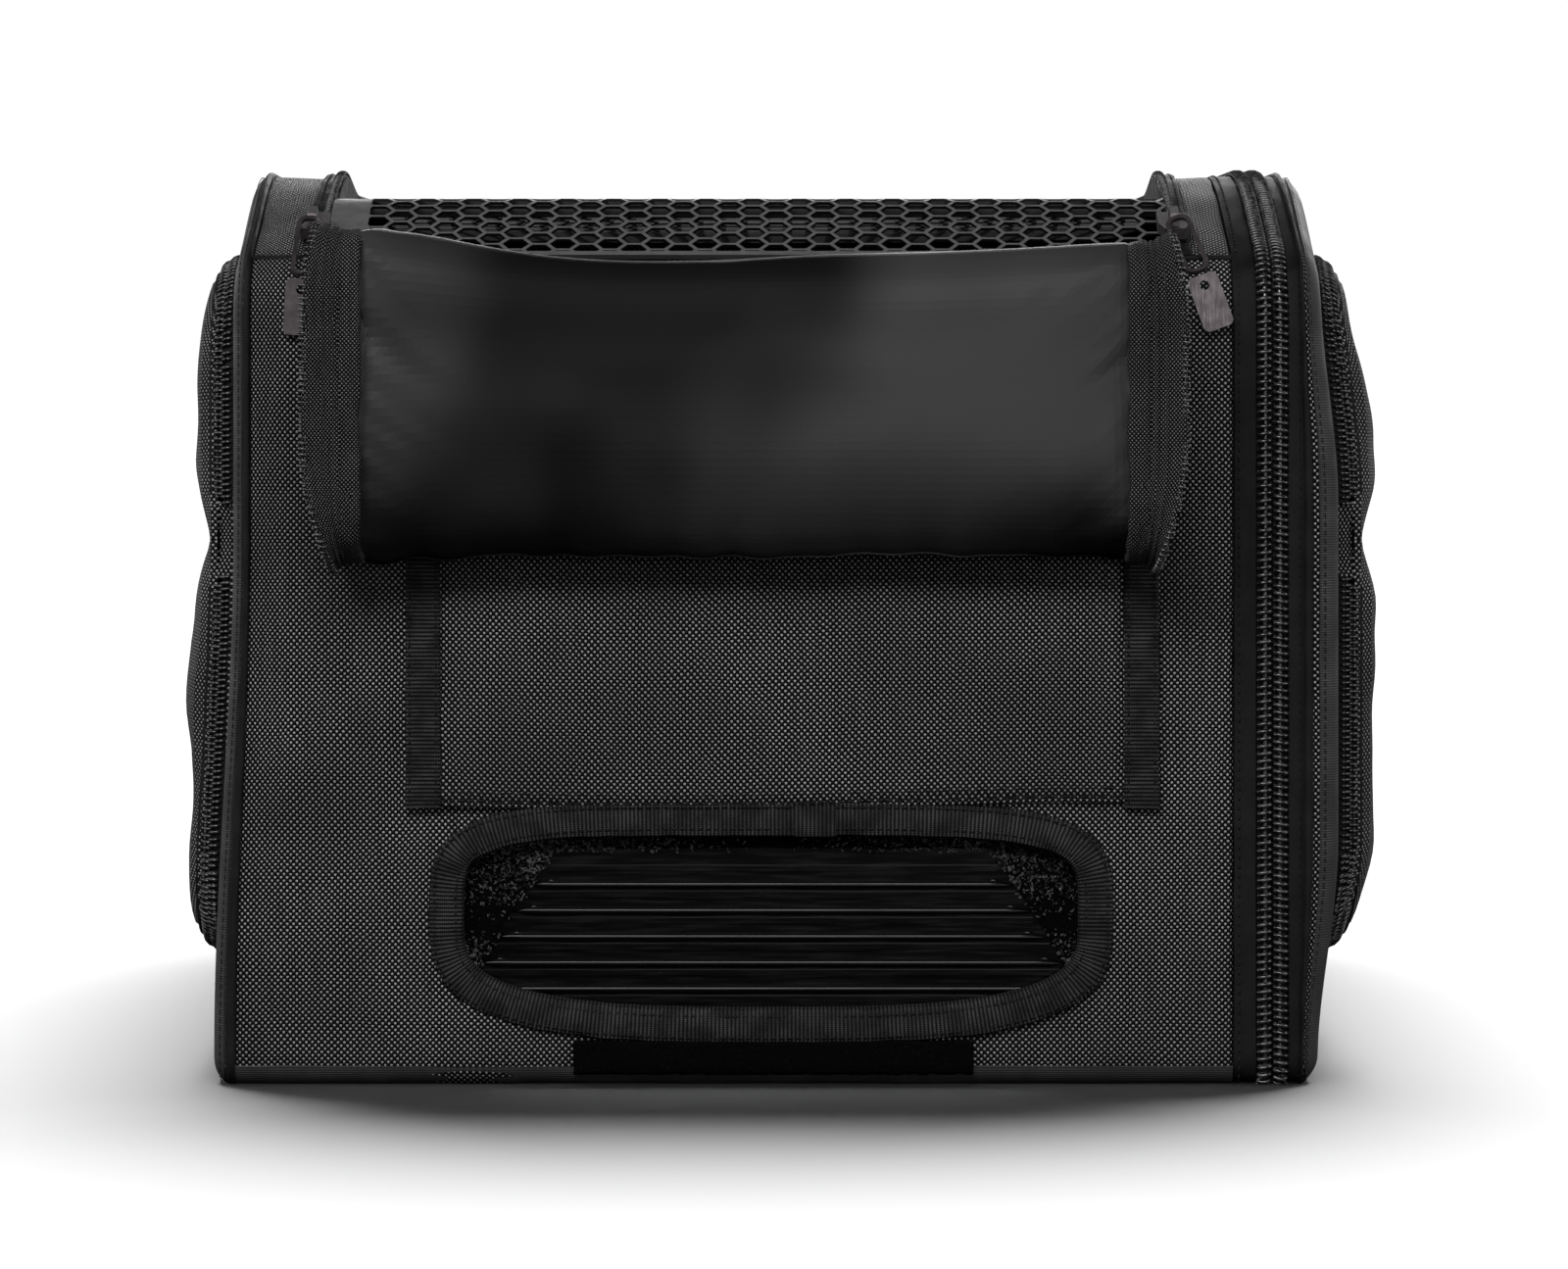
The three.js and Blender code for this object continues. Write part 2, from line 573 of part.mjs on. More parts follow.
// A webbing strap sewn at both feet and bowed away from the back, drawn in x and y.
const handleShape = () => {
  const { half, foot, flat, bow, sheet } = HANDLE;
  const shape = new THREE.Shape();
  const middle = (half - foot + flat) / 2;
  shape.moveTo(-half, 0);
  shape.lineTo(-half, sheet);
  shape.lineTo(foot - half, sheet);
  shape.bezierCurveTo(-middle, sheet, -middle, bow, -flat, bow);
  shape.lineTo(flat, bow);
  shape.bezierCurveTo(middle, bow, middle, sheet, half - foot, sheet);
  shape.lineTo(half, sheet);
  shape.lineTo(half, 0);
  shape.lineTo(half - foot, 0);
  shape.bezierCurveTo(middle - sheet, 0, middle - sheet, bow - sheet, flat, bow - sheet);
  shape.lineTo(-flat, bow - sheet);
  shape.bezierCurveTo(sheet - middle, bow - sheet, sheet - middle, 0, foot - half, 0);
  return shape;
};
const handle = add(bag, 'back_handle', extrude(handleShape(), HANDLE.width), 'grosgrain');
handle.position.set(HANDLE.middle, BACK + GAP, HANDLE.bottom);

export default bag;
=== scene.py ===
"""Looks of a soft-sided pet carrier bag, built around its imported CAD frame, in metres."""

import math

import bmesh
import bpy
import numpy as np
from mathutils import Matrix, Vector, noise


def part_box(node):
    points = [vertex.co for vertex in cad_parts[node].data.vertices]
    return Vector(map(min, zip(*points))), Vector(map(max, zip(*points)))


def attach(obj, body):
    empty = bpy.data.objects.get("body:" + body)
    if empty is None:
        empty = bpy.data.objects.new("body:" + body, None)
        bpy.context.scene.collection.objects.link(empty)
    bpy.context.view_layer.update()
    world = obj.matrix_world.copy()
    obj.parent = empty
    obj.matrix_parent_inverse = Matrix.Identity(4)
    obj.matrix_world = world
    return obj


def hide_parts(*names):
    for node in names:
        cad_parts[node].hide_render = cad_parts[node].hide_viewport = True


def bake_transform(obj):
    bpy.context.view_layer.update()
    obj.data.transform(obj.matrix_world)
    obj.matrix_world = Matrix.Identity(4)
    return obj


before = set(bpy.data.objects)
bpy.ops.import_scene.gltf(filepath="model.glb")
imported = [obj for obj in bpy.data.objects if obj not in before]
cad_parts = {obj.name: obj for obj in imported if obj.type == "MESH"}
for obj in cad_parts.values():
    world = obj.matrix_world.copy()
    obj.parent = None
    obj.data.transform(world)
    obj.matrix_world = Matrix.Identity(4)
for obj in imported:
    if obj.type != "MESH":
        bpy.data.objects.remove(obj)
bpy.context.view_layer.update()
MM = 0.001


# ---------------------------------------------------------------- materials


class Nodes:
    """Short names for the shader nodes of one tree."""

    def __init__(self, tree):
        self.tree = tree

    def node(self, kind, **settings):
        made = self.tree.nodes.new(kind)
        for key, value in settings.items():
            setattr(made, key, value)
        return made

    def feed(self, socket, value):
        """Sets a socket to a number or a colour, or links an output to it."""
        if isinstance(value, (int, float)):
            socket.default_value = value
        elif isinstance(value, tuple):
            socket.default_value = (*value, 1.0)[: len(socket.default_value)]
        else:
            self.tree.links.new(value, socket)

    def math(self, operation, *values):
        made = self.node("ShaderNodeMath", operation=operation)
        for socket, value in zip(made.inputs, values):
            self.feed(socket, value)
        return made.outputs[0]

    def apart(self, vector):
        made = self.node("ShaderNodeSeparateXYZ")
        self.feed(made.inputs[0], vector)
        return made.outputs

    def remap(self, value, low, high, out_low=0.0, out_high=1.0):
        made = self.node("ShaderNodeMapRange", interpolation_type="SMOOTHSTEP")
        self.feed(made.inputs["Value"], value)
        names = ("From Min", "From Max", "To Min", "To Max")
        for name, number in zip(names, (low, high, out_low, out_high)):
            made.inputs[name].default_value = number
        return made.outputs["Result"]


class Shader(Nodes):
    """A Principled material and the textures that feed it."""

    def __init__(self, name, roughness, specular, metallic=0.0, sheen=0.0):
        self.material = bpy.data.materials.new(name)
        self.material.use_nodes = True
        super().__init__(self.material.node_tree)
        self.sockets = self.tree.nodes["Principled BSDF"].inputs
        self.sockets["Roughness"].default_value = roughness
        self.sockets["Specular IOR Level"].default_value = specular
        self.sockets["Metallic"].default_value = metallic
        self.sockets["Sheen Weight"].default_value = sheen
        self.sockets["Sheen Roughness"].default_value = 0.45

    def cloth_place(self):
        """Where a point lies across and along its fabric, in metres."""
        return self.node("ShaderNodeAttribute", attribute_name="cloth").outputs["Vector"]

    def cloth(self):
        """Across and along the fabric, in millimetres."""
        parts = self.apart(self.cloth_place())
        return [self.math("MULTIPLY", parts[i], 1 / MM) for i in (0, 1)]

    def upward(self):
        """1 where the surface faces up, 0 where it faces down; used as a mask for painted shade."""
        normal = self.node("ShaderNodeNewGeometry").outputs["Normal"]
        return self.remap(self.apart(normal)["Z"], -0.15, 0.35)

    def noise(self, scale, detail, roughness=0.5, stretch=None, cloth=False):
        """Noise over the object's own space, or over its fabric."""
        vector = self.cloth_place() if cloth else self.node("ShaderNodeTexCoord").outputs["Object"]
        if stretch:
            stretched = self.node("ShaderNodeVectorMath", operation="MULTIPLY")
            self.feed(stretched.inputs[0], vector)
            stretched.inputs[1].default_value = stretch
            vector = stretched.outputs[0]
        made = self.node("ShaderNodeTexNoise")
        self.feed(made.inputs["Vector"], vector)
        made.inputs["Scale"].default_value = scale
        made.inputs["Detail"].default_value = detail
        made.inputs["Roughness"].default_value = roughness
        return made.outputs["Fac"]

    def sine(self, place, pitch):
        return self.math("SINE", self.math("MULTIPLY", place, math.pi / pitch))

    def ribs(self, place, pitch):
        """Ribs from 0 to 1 and back within two pitches, in millimetres."""
        return self.remap(self.sine(place, pitch), -1, 1)

    def mix(self, share, first, second):
        made = self.node("ShaderNodeMix", data_type="RGBA")
        self.feed(made.inputs["Factor"], share)
        for socket, value in zip(made.inputs[6:8], (first, second)):
            self.feed(socket, value)
        return made.outputs[2]

    def fade(self, share, low, high, dark, light):
        """From a dark grey to a light one while share goes from low to high."""
        return self.mix(self.remap(share, low, high), grey(dark), grey(light))

    def finish(self, colour, roughness, *bumps):
        """Feeds the material; bumps are (height, depth in millimetres), the coarsest first."""
        self.feed(self.sockets["Base Color"], colour)
        if roughness is not None:
            self.feed(self.sockets["Roughness"], roughness)
        normal = None
        for height, depth in bumps:
            made = self.node("ShaderNodeBump")
            made.inputs["Distance"].default_value = depth * MM
            made.inputs["Strength"].default_value = 1.0
            self.feed(made.inputs["Height"], height)
            if normal is not None:
                self.feed(made.inputs["Normal"], normal)
            normal = made.outputs[0]
        if normal is not None:
            self.feed(self.sockets["Normal"], normal)
        return self.material


def grey(value):
    """A grey with a trace of blue."""
    return (value, value, value * 1.03)


BLACK = grey(0.001)


def weave_material(name, pitch_u, pitch_v, tone, drift_size=1.6):
    """Plain weave: raised floats in a chequer, paler than the gaps between them."""
    s = Shader(name, 0.6, 0.12)
    u, v = s.cloth()
    wander = s.noise(55.0, 2.0, cloth=True)
    drift = s.math("MULTIPLY", s.math("SUBTRACT", wander, 0.5), drift_size)
    across, along = s.math("ADD", u, drift), s.math("ADD", v, drift)
    over = s.math("MULTIPLY", s.sine(across, pitch_u), s.sine(along, pitch_v))
    patches = s.noise(14.0, 3.0, cloth=True)
    threads = s.noise(1.0, 2.0, stretch=(900.0, 40.0, 1.0), cloth=True)
    pale = s.fade(patches, 0.3, 0.7, tone * 0.72, tone * 1.3)
    pale = s.mix(s.remap(threads, 0.35, 0.8, 0.0, 0.7), pale, grey(tone * 0.5))
    floats = s.math("POWER", s.math("ABSOLUTE", over), 0.6)
    colour = s.mix(s.remap(over, 0.14, 0.8), BLACK, pale)
    return s.finish(colour, s.remap(over, -1.0, 1.0, 0.66, 0.48), (patches, 0.5), (floats, 0.28))


def tape_material():
    """Smooth zipper tape: a very fine weave that shows as a faint twill."""
    s = Shader("smooth_tape", 0.6, 0.12)
    u, v = s.cloth()
    twill = s.ribs(s.math("ADD", u, v), 0.42)
    worn = s.noise(90.0, 4.0, cloth=True)
    colour = s.mix(twill, grey(0.0012), s.fade(worn, 0.35, 0.75, 0.009, 0.024))
    return s.finish(colour, s.remap(worn, 0.3, 0.7, 0.52, 0.7), (worn, 0.25), (twill, 0.08))


def facing_material():
    """The lighter smooth fabric round the pockets and along the front's hem."""
    s = Shader("facing", 0.55, 0.1)
    rib = s.ribs(s.cloth()[1], 0.4)
    worn = s.noise(60.0, 4.0, cloth=True)
    colour = s.mix(rib, grey(0.022), s.fade(worn, 0.3, 0.75, 0.04, 0.08))
    return s.finish(colour, s.remap(worn, 0.3, 0.7, 0.56, 0.42), (worn, 0.3), (rib, 0.03))


def satin_material():
    """Satin lining: a soft sheen with faint creases and cloudy tone."""
    s = Shader("satin", 0.4, 0.09)
    clouds = s.noise(9.0, 2.0, 0.45)
    creases = s.noise(70.0, 4.0, 0.6, stretch=(1.0, 1.0, 0.35))
    thread = s.noise(900.0, 2.0, stretch=(1.0, 1.0, 6.0))
    colour = s.fade(clouds, 0.36, 0.62, 0.0025, 0.04)
    return s.finish(colour, s.remap(clouds, 0.36, 0.62, 0.6, 0.4), (creases, 0.12), (thread, 0.03))


def grosgrain_material():
    """Ribbed ribbon: ribs run across the tape, with a fine thread between them."""
    s = Shader("grosgrain", 0.62, 0.12)
    u, v = s.cloth()
    rib, thread = s.ribs(v, 0.62), s.ribs(u, 0.33)
    worn = s.noise(110.0, 3.0, cloth=True)
    shown = s.math("MULTIPLY", rib, s.math("ADD", thread, 0.35))
    colour = s.mix(shown, BLACK, s.fade(worn, 0.3, 0.7, 0.018, 0.062))
    return s.finish(colour, None, (worn, 0.2), (rib, 0.22), (thread, 0.05))


def mesh_material():
    """The roof's coated polyester mesh, mid grey on faces that point up, with painted black shade on faces
    that point down.
    """
    s = Shader("hex_mesh", 0.5, 0.12)
    worn = s.noise(240.0, 4.0)
    # Painted shade: faces that point down (the mesh's underside and the upper walls of its holes) go black;
    # faces that point up keep the grey tone.
    colour = s.mix(s.upward(), BLACK, s.mix(worn, grey(0.055), grey(0.12)))
    return s.finish(colour, s.remap(worn, 0.3, 0.7, 0.55, 0.42), (worn, 0.12))


def pile_material():
    """Loop pile: fuzzy, almost black, with stray paler fibres."""
    s = Shader("loop_pile", 0.95, 0.04)
    fuzz = s.noise(1500.0, 5.0, 0.7)
    tufts = s.noise(420.0, 3.0, 0.6)
    return s.finish(s.fade(fuzz, 0.58, 0.74, 0.0012, 0.02), None, (tufts, 0.9), (fuzz, 0.5))


def fibre_material():
    """The loops that stand off the pile and catch the light."""
    s = Shader("pile_fibre", 0.5, 0.3)
    tone = s.noise(500.0, 3.0, 0.6)
    return s.finish(s.fade(tone, 0.4, 0.65, 0.01, 0.16), None, (tone, 0.05))


def gloss_material():
    """Glossy moulded plastic with faint flow marks and fine scratches."""
    s = Shader("gloss_plastic", 0.2, 0.2)
    flow = s.noise(30.0, 2.0)
    scratch = s.noise(900.0, 2.0, stretch=(0.06, 1.0, 1.0))
    return s.finish(s.mix(flow, BLACK, grey(0.003)), s.remap(scratch, 0.4, 0.8, 0.16, 0.3), (flow, 0.004))


def coil_material():
    """Nylon coil, semi-gloss, rubbed paler where the slider passes."""
    s = Shader("coil", 0.3, 0.85)
    worn = s.noise(700.0, 3.0)
    colour = s.fade(worn, 0.35, 0.7, 0.005, 0.05)
    return s.finish(colour, s.remap(worn, 0.35, 0.7, 0.22, 0.36), (worn, 0.03))


def thread_material():
    """Sewing thread, two-ply."""
    s = Shader("thread", 0.6, 0.1)
    ply = s.noise(2600.0, 1.0)
    return s.finish(s.mix(ply, grey(0.002), grey(0.014)), None, (ply, 0.05))


def gunmetal_material():
    """Die-cast gunmetal, slightly warm and brushed, its cast tone varying at random."""
    s = Shader("gunmetal", 0.34, 0.5, metallic=0.85)
    brushed = s.noise(2200.0, 3.0, stretch=(1.0, 1.0, 0.05))
    cast = s.noise(260.0, 3.0)
    colour = s.mix(s.remap(cast, 0.3, 0.7), (0.08, 0.07, 0.073), (0.13, 0.114, 0.118))
    return s.finish(colour, s.remap(brushed, 0.3, 0.7, 0.28, 0.46), (cast, 0.05), (brushed, 0.012))


def mat_material():
    """Brushed polyester of the floor mat."""
    s = Shader("brushed_mat", 0.9, 0.1, sheen=0.1)
    nap = s.noise(620.0, 5.0, 0.65)
    dirt = s.noise(12.0, 3.0)
    colour = s.mix(s.math("MULTIPLY", nap, dirt), grey(0.012), grey(0.07))
    return s.finish(colour, None, (dirt, 0.6), (nap, 0.5))


def board_material():
    """Fibreboard and stiffening rod."""
    s = Shader("board", 0.7, 0.15)
    fibre = s.noise(300.0, 5.0, stretch=(1.0, 0.3, 1.0))
    return s.finish(s.mix(fibre, grey(0.008), grey(0.03)), None, (fibre, 0.15))


LOOKS = {
    "ballistic_fabric": weave_material("ballistic", 0.98, 1.02, 0.34),
    "smooth_tape": tape_material(),
    "satin_lining": satin_material(),
    "mat_fabric": mat_material(),
    "grosgrain": grosgrain_material(),
    "roof_mesh": mesh_material(),
    "loop_pile": pile_material(),
    "gloss_plate": gloss_material(),
    "zip_coil": coil_material(),
    "gunmetal": gunmetal_material(),
    "stiffener": board_material(),
}
FACING = facing_material()
WOVEN_TAPE = weave_material("woven_tape", 0.62, 0.68, 0.17, 0.8)
THREAD = thread_material()
FIBRE = fibre_material()


# ---------------------------------------------------------------- mesh tools


def ramp(value, low, high):
    """A smooth rise from 0 at low to 1 at high."""
    t = np.clip((value - low) / (high - low), 0.0, 1.0)
    return t * t * (3 - 2 * t)


LEFT_LEAN, RIGHT_LEAN, RIGHT_TUCK, ROOF_SAG = 6 * MM, 5.5 * MM, 6.5 * MM, 7 * MM


def slack(points):
    """Leans the front corners in and lets the roof sag between its stiff edges."""
    points = np.array(points, float)
    x, y, z = points.T.copy()
    near = (1 - ramp(y, FRONT + 20 * MM, 10 * MM)) * (np.abs(x) < 1.0)
    leaning = LEFT_LEAN * (1 - ramp(x, -178 * MM, -151 * MM)) * ramp(z, 10 * MM, 170 * MM)
    pulled = RIGHT_LEAN * ramp(z, 180 * MM, 248 * MM) + RIGHT_TUCK * (1 - ramp(z, 5 * MM, 75 * MM))
    points[:, 0] += near * (leaning - pulled * ramp(x, 157 * MM, 171 * MM))
    between = ramp(x, -170 * MM, -157 * MM) * (1 - ramp(x, 129 * MM, 140 * MM))
    level = ramp(y, -118 * MM, -55 * MM) * (1 - ramp(y, 110 * MM, 175 * MM)) * (z > 240 * MM)
    points[:, 2] -= ROOF_SAG * between * level
    return points


def solid_object(name, points, faces, cloth=None):
    """A smooth-shaded mesh; cloth holds each point's place across and along the fabric."""
    mesh = bpy.data.meshes.new(name)
    mesh.from_pydata(slack(points).tolist(), [], faces)
    if cloth is not None:
        layer = mesh.attributes.new("cloth", "FLOAT_VECTOR", "POINT")
        layer.data.foreach_set("vector", np.asarray(cloth, np.float32).ravel())
    mesh.shade_smooth()
    made = bpy.data.objects.new(name, mesh)
    bpy.context.scene.collection.objects.link(made)
    return made


def outwards(piece):
    """Turns all faces of a closed mesh outwards."""
    bm = bmesh.new()
    bm.from_mesh(piece.data)
    bmesh.ops.recalc_face_normals(bm, faces=bm.faces)
    bm.to_mesh(piece.data)
    bm.free()
    return piece


def grid_faces(rows, count, closed=False):
    """Quads between rows of count points; closed joins each row's end to its start."""
    steps = [(j, (j + 1) % count) for j in range(count if closed else count - 1)]
    return [
        (row + j, row + k, row + count + k, row + count + j)
        for row in range(0, (rows - 1) * count, count)
        for j, k in steps
    ]


def tube(name, points, count, cloth=None):
    """A closed solid from rings of count points, with a cap at both ends."""
    total = len(points)
    faces = grid_faces(total // count, count, closed=True)
    faces += [tuple(range(count)), tuple(reversed(range(total - count, total)))]
    return outwards(solid_object(name, points, faces, cloth))


def bead_faces(rings, turns):
    """Faces of a closed bead: a first point, rings of points and a last point."""
    steps = [(k, (k + 1) % turns) for k in range(turns)]
    last = 1 + (rings - 1) * turns
    faces = [(0, 1 + k, 1 + n) for k, n in steps]
    for ring in range(1, last, turns):
        faces += [(ring + k, ring + turns + k, ring + turns + n, ring + n) for k, n in steps]
    return faces + [(last + turns, last + n, last + k) for k, n in steps]


def settle(piece, body, slot, *nodes, look=None, crease=50):
    """Gives a piece its finish, from its slot unless a look is given, and its body, and hides the nodes
    that it stands for.
    """
    if crease:
        piece.data.set_sharp_from_angle(angle=math.radians(crease))
    piece.data.materials.append(look or LOOKS[slot])
    if body:
        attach(piece, body)
    if nodes:
        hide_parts(*nodes)
    return piece


def apply_modifiers(piece):
    bpy.context.view_layer.update()
    shown = piece.evaluated_get(bpy.context.evaluated_depsgraph_get())
    old = piece.data
    piece.data = bpy.data.meshes.new_from_object(shown)
    piece.modifiers.clear()
    bpy.data.meshes.remove(old)


def thicken(piece, thickness, offset):
    """Gives a sheet its thickness; offset is 0 for both sides and -1 for the back."""
    thick = piece.modifiers.new("thickness", "SOLIDIFY")
    thick.thickness, thick.offset = thickness, offset
    apply_modifiers(piece)


def round_edges(node, look, width, angle):
    """Keeps a CAD node's shape, with softened edges and a new finish."""
    edge = node.modifiers.new("soft_edges", "BEVEL")
    edge.width, edge.segments, edge.limit_method = width, 3, "ANGLE"
    edge.angle_limit = math.radians(angle)
    refinish(node, look)


def refinish(node, look):
    node.data.materials.clear()
    node.data.materials.append(LOOKS[look])


def move_points(piece, shift):
    """Moves every point by what shift says for its vertex."""
    moved = [vertex.co + shift(vertex) for vertex in piece.data.vertices]
    for vertex, place in zip(piece.data.vertices, moved):
        vertex.co = place
    piece.data.update()


def soften(piece, depth, size, seed=0.0, mask=None):
    """Moves points along their normals by smooth noise, depth deep and size across."""

    def wave(vertex):
        share = mask(vertex.co) if mask else 1.0
        height = noise.noise(vertex.co / size + Vector((seed, seed * 1.7, 0)))
        return vertex.normal * (height * depth * share)

    move_points(piece, wave)


class Line:
    """A line of 3D points with a place, a direction and a length along it."""

    def __init__(self, points):
        self.points = np.asarray(points, float)
        steps = np.linalg.norm(np.diff(self.points, axis=0), axis=1)
        self.along = np.concatenate([[0.0], np.cumsum(steps)])
        self.length = self.along[-1]

    def at(self, s):
        return np.stack([np.interp(s, self.along, self.points[:, k]) for k in range(3)], -1)

    def heading(self, s, reach=0.4 * MM):
        ahead = self.at(np.minimum(np.asarray(s) + reach, self.length))
        behind = self.at(np.maximum(np.asarray(s) - reach, 0.0))
        return (ahead - behind) / np.linalg.norm(ahead - behind, axis=-1, keepdims=True)

    def spaced(self, step, start=0.0, end=None):
        end = self.length if end is None else end
        return np.linspace(start, end, max(2, int(round((end - start) / step)) + 1))

    def axes(self, at, across):
        """Places, headings, sideways and outward directions at some stations."""
        places, ahead = self.at(at), self.heading(at)
        side = np.broadcast_to(np.asarray(across, float), places.shape)
        return places, ahead, side, np.cross(side, ahead)

    def beside(self, across, shift, lift):
        """This line moved sideways and outwards."""
        _, _, side, out = self.axes(self.along, across)
        return Line(self.points + side * shift + out * lift)


def sweep(name, line, across, profile, stations, widths=None):
    """Carries a closed profile along a line. Its first coordinate runs along `across`, which
    is one direction or one for each station, and its second along the outward normal."""
    profile = np.asarray(profile, float)
    count = len(profile)
    places, _, across, out = line.axes(stations, across)
    out = out / np.linalg.norm(out, axis=1, keepdims=True)
    widths = np.ones((len(stations), 2)) if widths is None else widths
    points = (
        places[:, None]
        + across[:, None] * (profile[None, :, :1] * widths[:, None, :1])
        + out[:, None] * (profile[None, :, 1:] * widths[:, None, 1:])
    )
    points[:, :, 2] = np.maximum(points[:, :, 2], 0.0)
    rim = np.linalg.norm(profile - np.roll(profile, 1, axis=0), axis=1)
    rim[0] = 0.0
    cloth = np.zeros((len(stations), count, 3))
    cloth[:, :, 0] = np.cumsum(rim)[None]
    cloth[:, :, 1] = np.asarray(stations)[:, None]
    return tube(name, points.reshape(-1, 3), count, cloth.reshape(-1, 3))


def flat_profile(low, high, bottom, top, radius, divisions=1, corner=3):
    """A strip from low to high and from bottom to top with rounded edges."""
    radius = min(radius, (top - bottom) / 2.01, (high - low) / 2.01)
    points = []
    corners = ((high, top, 0), (low, top, 1), (low, bottom, 2), (high, bottom, 3))
    for x, y, quarter in corners:
        centre = (x - radius if x == high else x + radius, y - radius if y == top else y + radius)
        turn = quarter * math.pi / 2
        points += arc(centre, radius, turn, turn + math.pi / 2, corner + 1)
        if quarter in (0, 2):
            x0, y0 = points[-1]
            x1 = low + radius if quarter == 0 else high - radius
            points += [(x0 + (x1 - x0) * k / divisions, y0) for k in range(1, divisions)]
    return points


def arc(centre, radius, start, end, count):
    angles = np.linspace(start, end, count)
    return [(centre[0] + radius * math.cos(a), centre[1] + radius * math.sin(a)) for a in angles]


def round_profile(radius, count=10, x=0.0, y=0.0):
    return arc((x, y), radius, 0, 2 * math.pi, count + 1)[:-1]


def scatter(name, unit, places, first, second, third):
    """Copies a small unit mesh to many places, each with its own three axes."""
    unit_points, unit_faces = unit
    unit_points = np.asarray(unit_points, float)
    points = (
        places[:, None]
        + first[:, None] * unit_points[None, :, :1]
        + second[:, None] * unit_points[None, :, 1:2]
        + third[:, None] * unit_points[None, :, 2:]
    ).reshape(-1, 3)
    points[:, 2] = np.maximum(points[:, 2], 0.0)
    starts = range(0, len(points), len(unit_points))
    faces = [tuple(start + k for k in face) for start in starts for face in unit_faces]
    return outwards(solid_object(name, points, faces))


def loop_unit(half_width, half_height, radius, lean, turns=10, sides=5):
    """One turn of a zipper coil, an oval loop that leans along the chain."""
    points, faces = [], []
    for i in range(turns):
        a = 2 * math.pi * i / turns
        for j in range(sides):
            b = 2 * math.pi * j / sides
            reach = radius * math.cos(b)
            points.append(
                (
                    half_width * math.cos(a) + reach * math.cos(a),
                    lean * math.cos(a) + radius * math.sin(b),
                    half_height * math.sin(a) + reach * math.sin(a),
                )
            )
            row, next_row, k = i * sides, (i + 1) % turns * sides, (j + 1) % sides
            faces.append((row + j, next_row + j, next_row + k, row + k))
    return points, faces


def stitch_unit(length, radius):
    """One sewn stitch: a short thread that dips into the cloth at both ends."""
    points = [(0, -length / 2, -radius * 0.8)]
    for share in (-0.32, 0.0, 0.32):
        sunk = (0.2 - abs(share)) * radius
        ring = [k * math.pi / 3 for k in range(6)]
        points += [(radius * math.cos(a), share * length, radius * math.sin(a) + sunk) for a in ring]
    points.append((0, length / 2, -radius * 0.8))
    return points, bead_faces(3, 6)


# Sewing: stitch lengths, and thread radii from thick to fine.
LONG_STITCH, STITCH, SHORT_STITCH, TACK = 3.0 * MM, 2.6 * MM, 2.4 * MM, 1.6 * MM
THICK, MEDIUM, FINE = 0.34 * MM, 0.24 * MM, 0.18 * MM


def stitches(
    name, line, across, body, slot, pitch=LONG_STITCH, lift=0.0, start=0.0, end=None, thread=THICK
):
    """A row of stitches along a line that lies on the cloth; thread is the thread's radius."""
    end = line.length if end is None else end
    at = np.arange(start + pitch / 2, end, pitch)
    across = across(line, at) if callable(across) else across
    places, ahead, side, out = line.axes(at, across)
    made = scatter(name, stitch_unit(pitch * 0.78, thread), places + out * lift, side, ahead, out)
    return settle(made, body, slot, look=THREAD, crease=0)


# Coil loops: half width, half height, thread radius, lean, points round loop and thread.
MAIN_LOOP, MAIN_PITCH = (1.9 * MM, 0.9 * MM, 0.66 * MM, 0.3 * MM), 2.3 * MM
ROOF_LOOP, ROOF_PITCH = (1.2 * MM, 0.6 * MM, 0.3 * MM, 0.2 * MM), 1.45 * MM
POCKET_LOOP, POCKET_PITCH = (1.55 * MM, 0.6 * MM, 0.52 * MM, 0.1 * MM, 8, 5), 1.9 * MM
COVER_LOOP, COVER_PITCH = (0.95 * MM, 0.5 * MM, 0.5 * MM, 0.1 * MM, 8, 6), 1.75 * MM


def teeth(name, line, at, across, shift, lift, loop, body, turn=1, tilt=(1.0, 0.0)):
    """A row of coil turns beside a line. turn is -1 for the row that comes from the other
    side; tilt says how far the loops point sideways and outwards."""
    places, ahead, side, out = line.axes(at, across)
    first = side * tilt[0] + out * tilt[1]
    spots = places + side * shift + out * lift
    row = scatter(name, loop_unit(*loop), spots, first * turn, ahead, np.cross(first, ahead))
    return settle(row, body, "zip_coil", crease=0)


def joined(name, pieces):
    """Joins new pieces that share a body into one."""
    bm = bmesh.new()
    for piece in pieces:
        bm.from_mesh(piece.data)
    mesh = pieces[0].data
    bm.to_mesh(mesh)
    bm.free()
    mesh.shade_smooth()
    for piece in pieces[1:]:
        bpy.data.objects.remove(piece)
    pieces[0].name = name
    return pieces[0]


# ---------------------------------------------------------------- the end outline

X_AXIS, Y_AXIS, Z_AXIS = (1.0, 0.0, 0.0), (0.0, 1.0, 0.0), (0.0, 0.0, 1.0)
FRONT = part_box("zip_tape_body")[0].y
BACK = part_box("zip_tape_body")[1].y
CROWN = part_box("roof_band_left")[1].z
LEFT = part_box("front_panel")[0].x
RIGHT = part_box("front_panel")[1].x
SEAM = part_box("front_panel")[1].z
SIDES = (("left", "bag", -1), ("right", "door", 1))
FOOT_RADIUS = 8 * MM
SHOULDER = 238 * MM
SHOULDER_RADIUS = 22 * MM
SHOULDER_TURN = math.radians(68)
SHOULDER_PULL = 40 * MM
CROWN_DEPTH = 112 * MM
CROWN_PULL = 35 * MM


def bezier(p0, p1, p2, p3, count):
    t = np.linspace(0, 1, count)[:, None]
    p0, p1, p2, p3 = (np.array(p, float) for p in (p0, p1, p2, p3))
    curve = (1 - t) ** 3 * p0 + 3 * (1 - t) ** 2 * t * p1 + 3 * (1 - t) * t**2 * p2 + t**3 * p3
    return [tuple(p) for p in curve]


def without_repeats(points):
    kept = [points[0]]
    for p in points[1:]:
        if math.dist(p, kept[-1]) > 0.01 * MM:
            kept.append(p)
    return kept


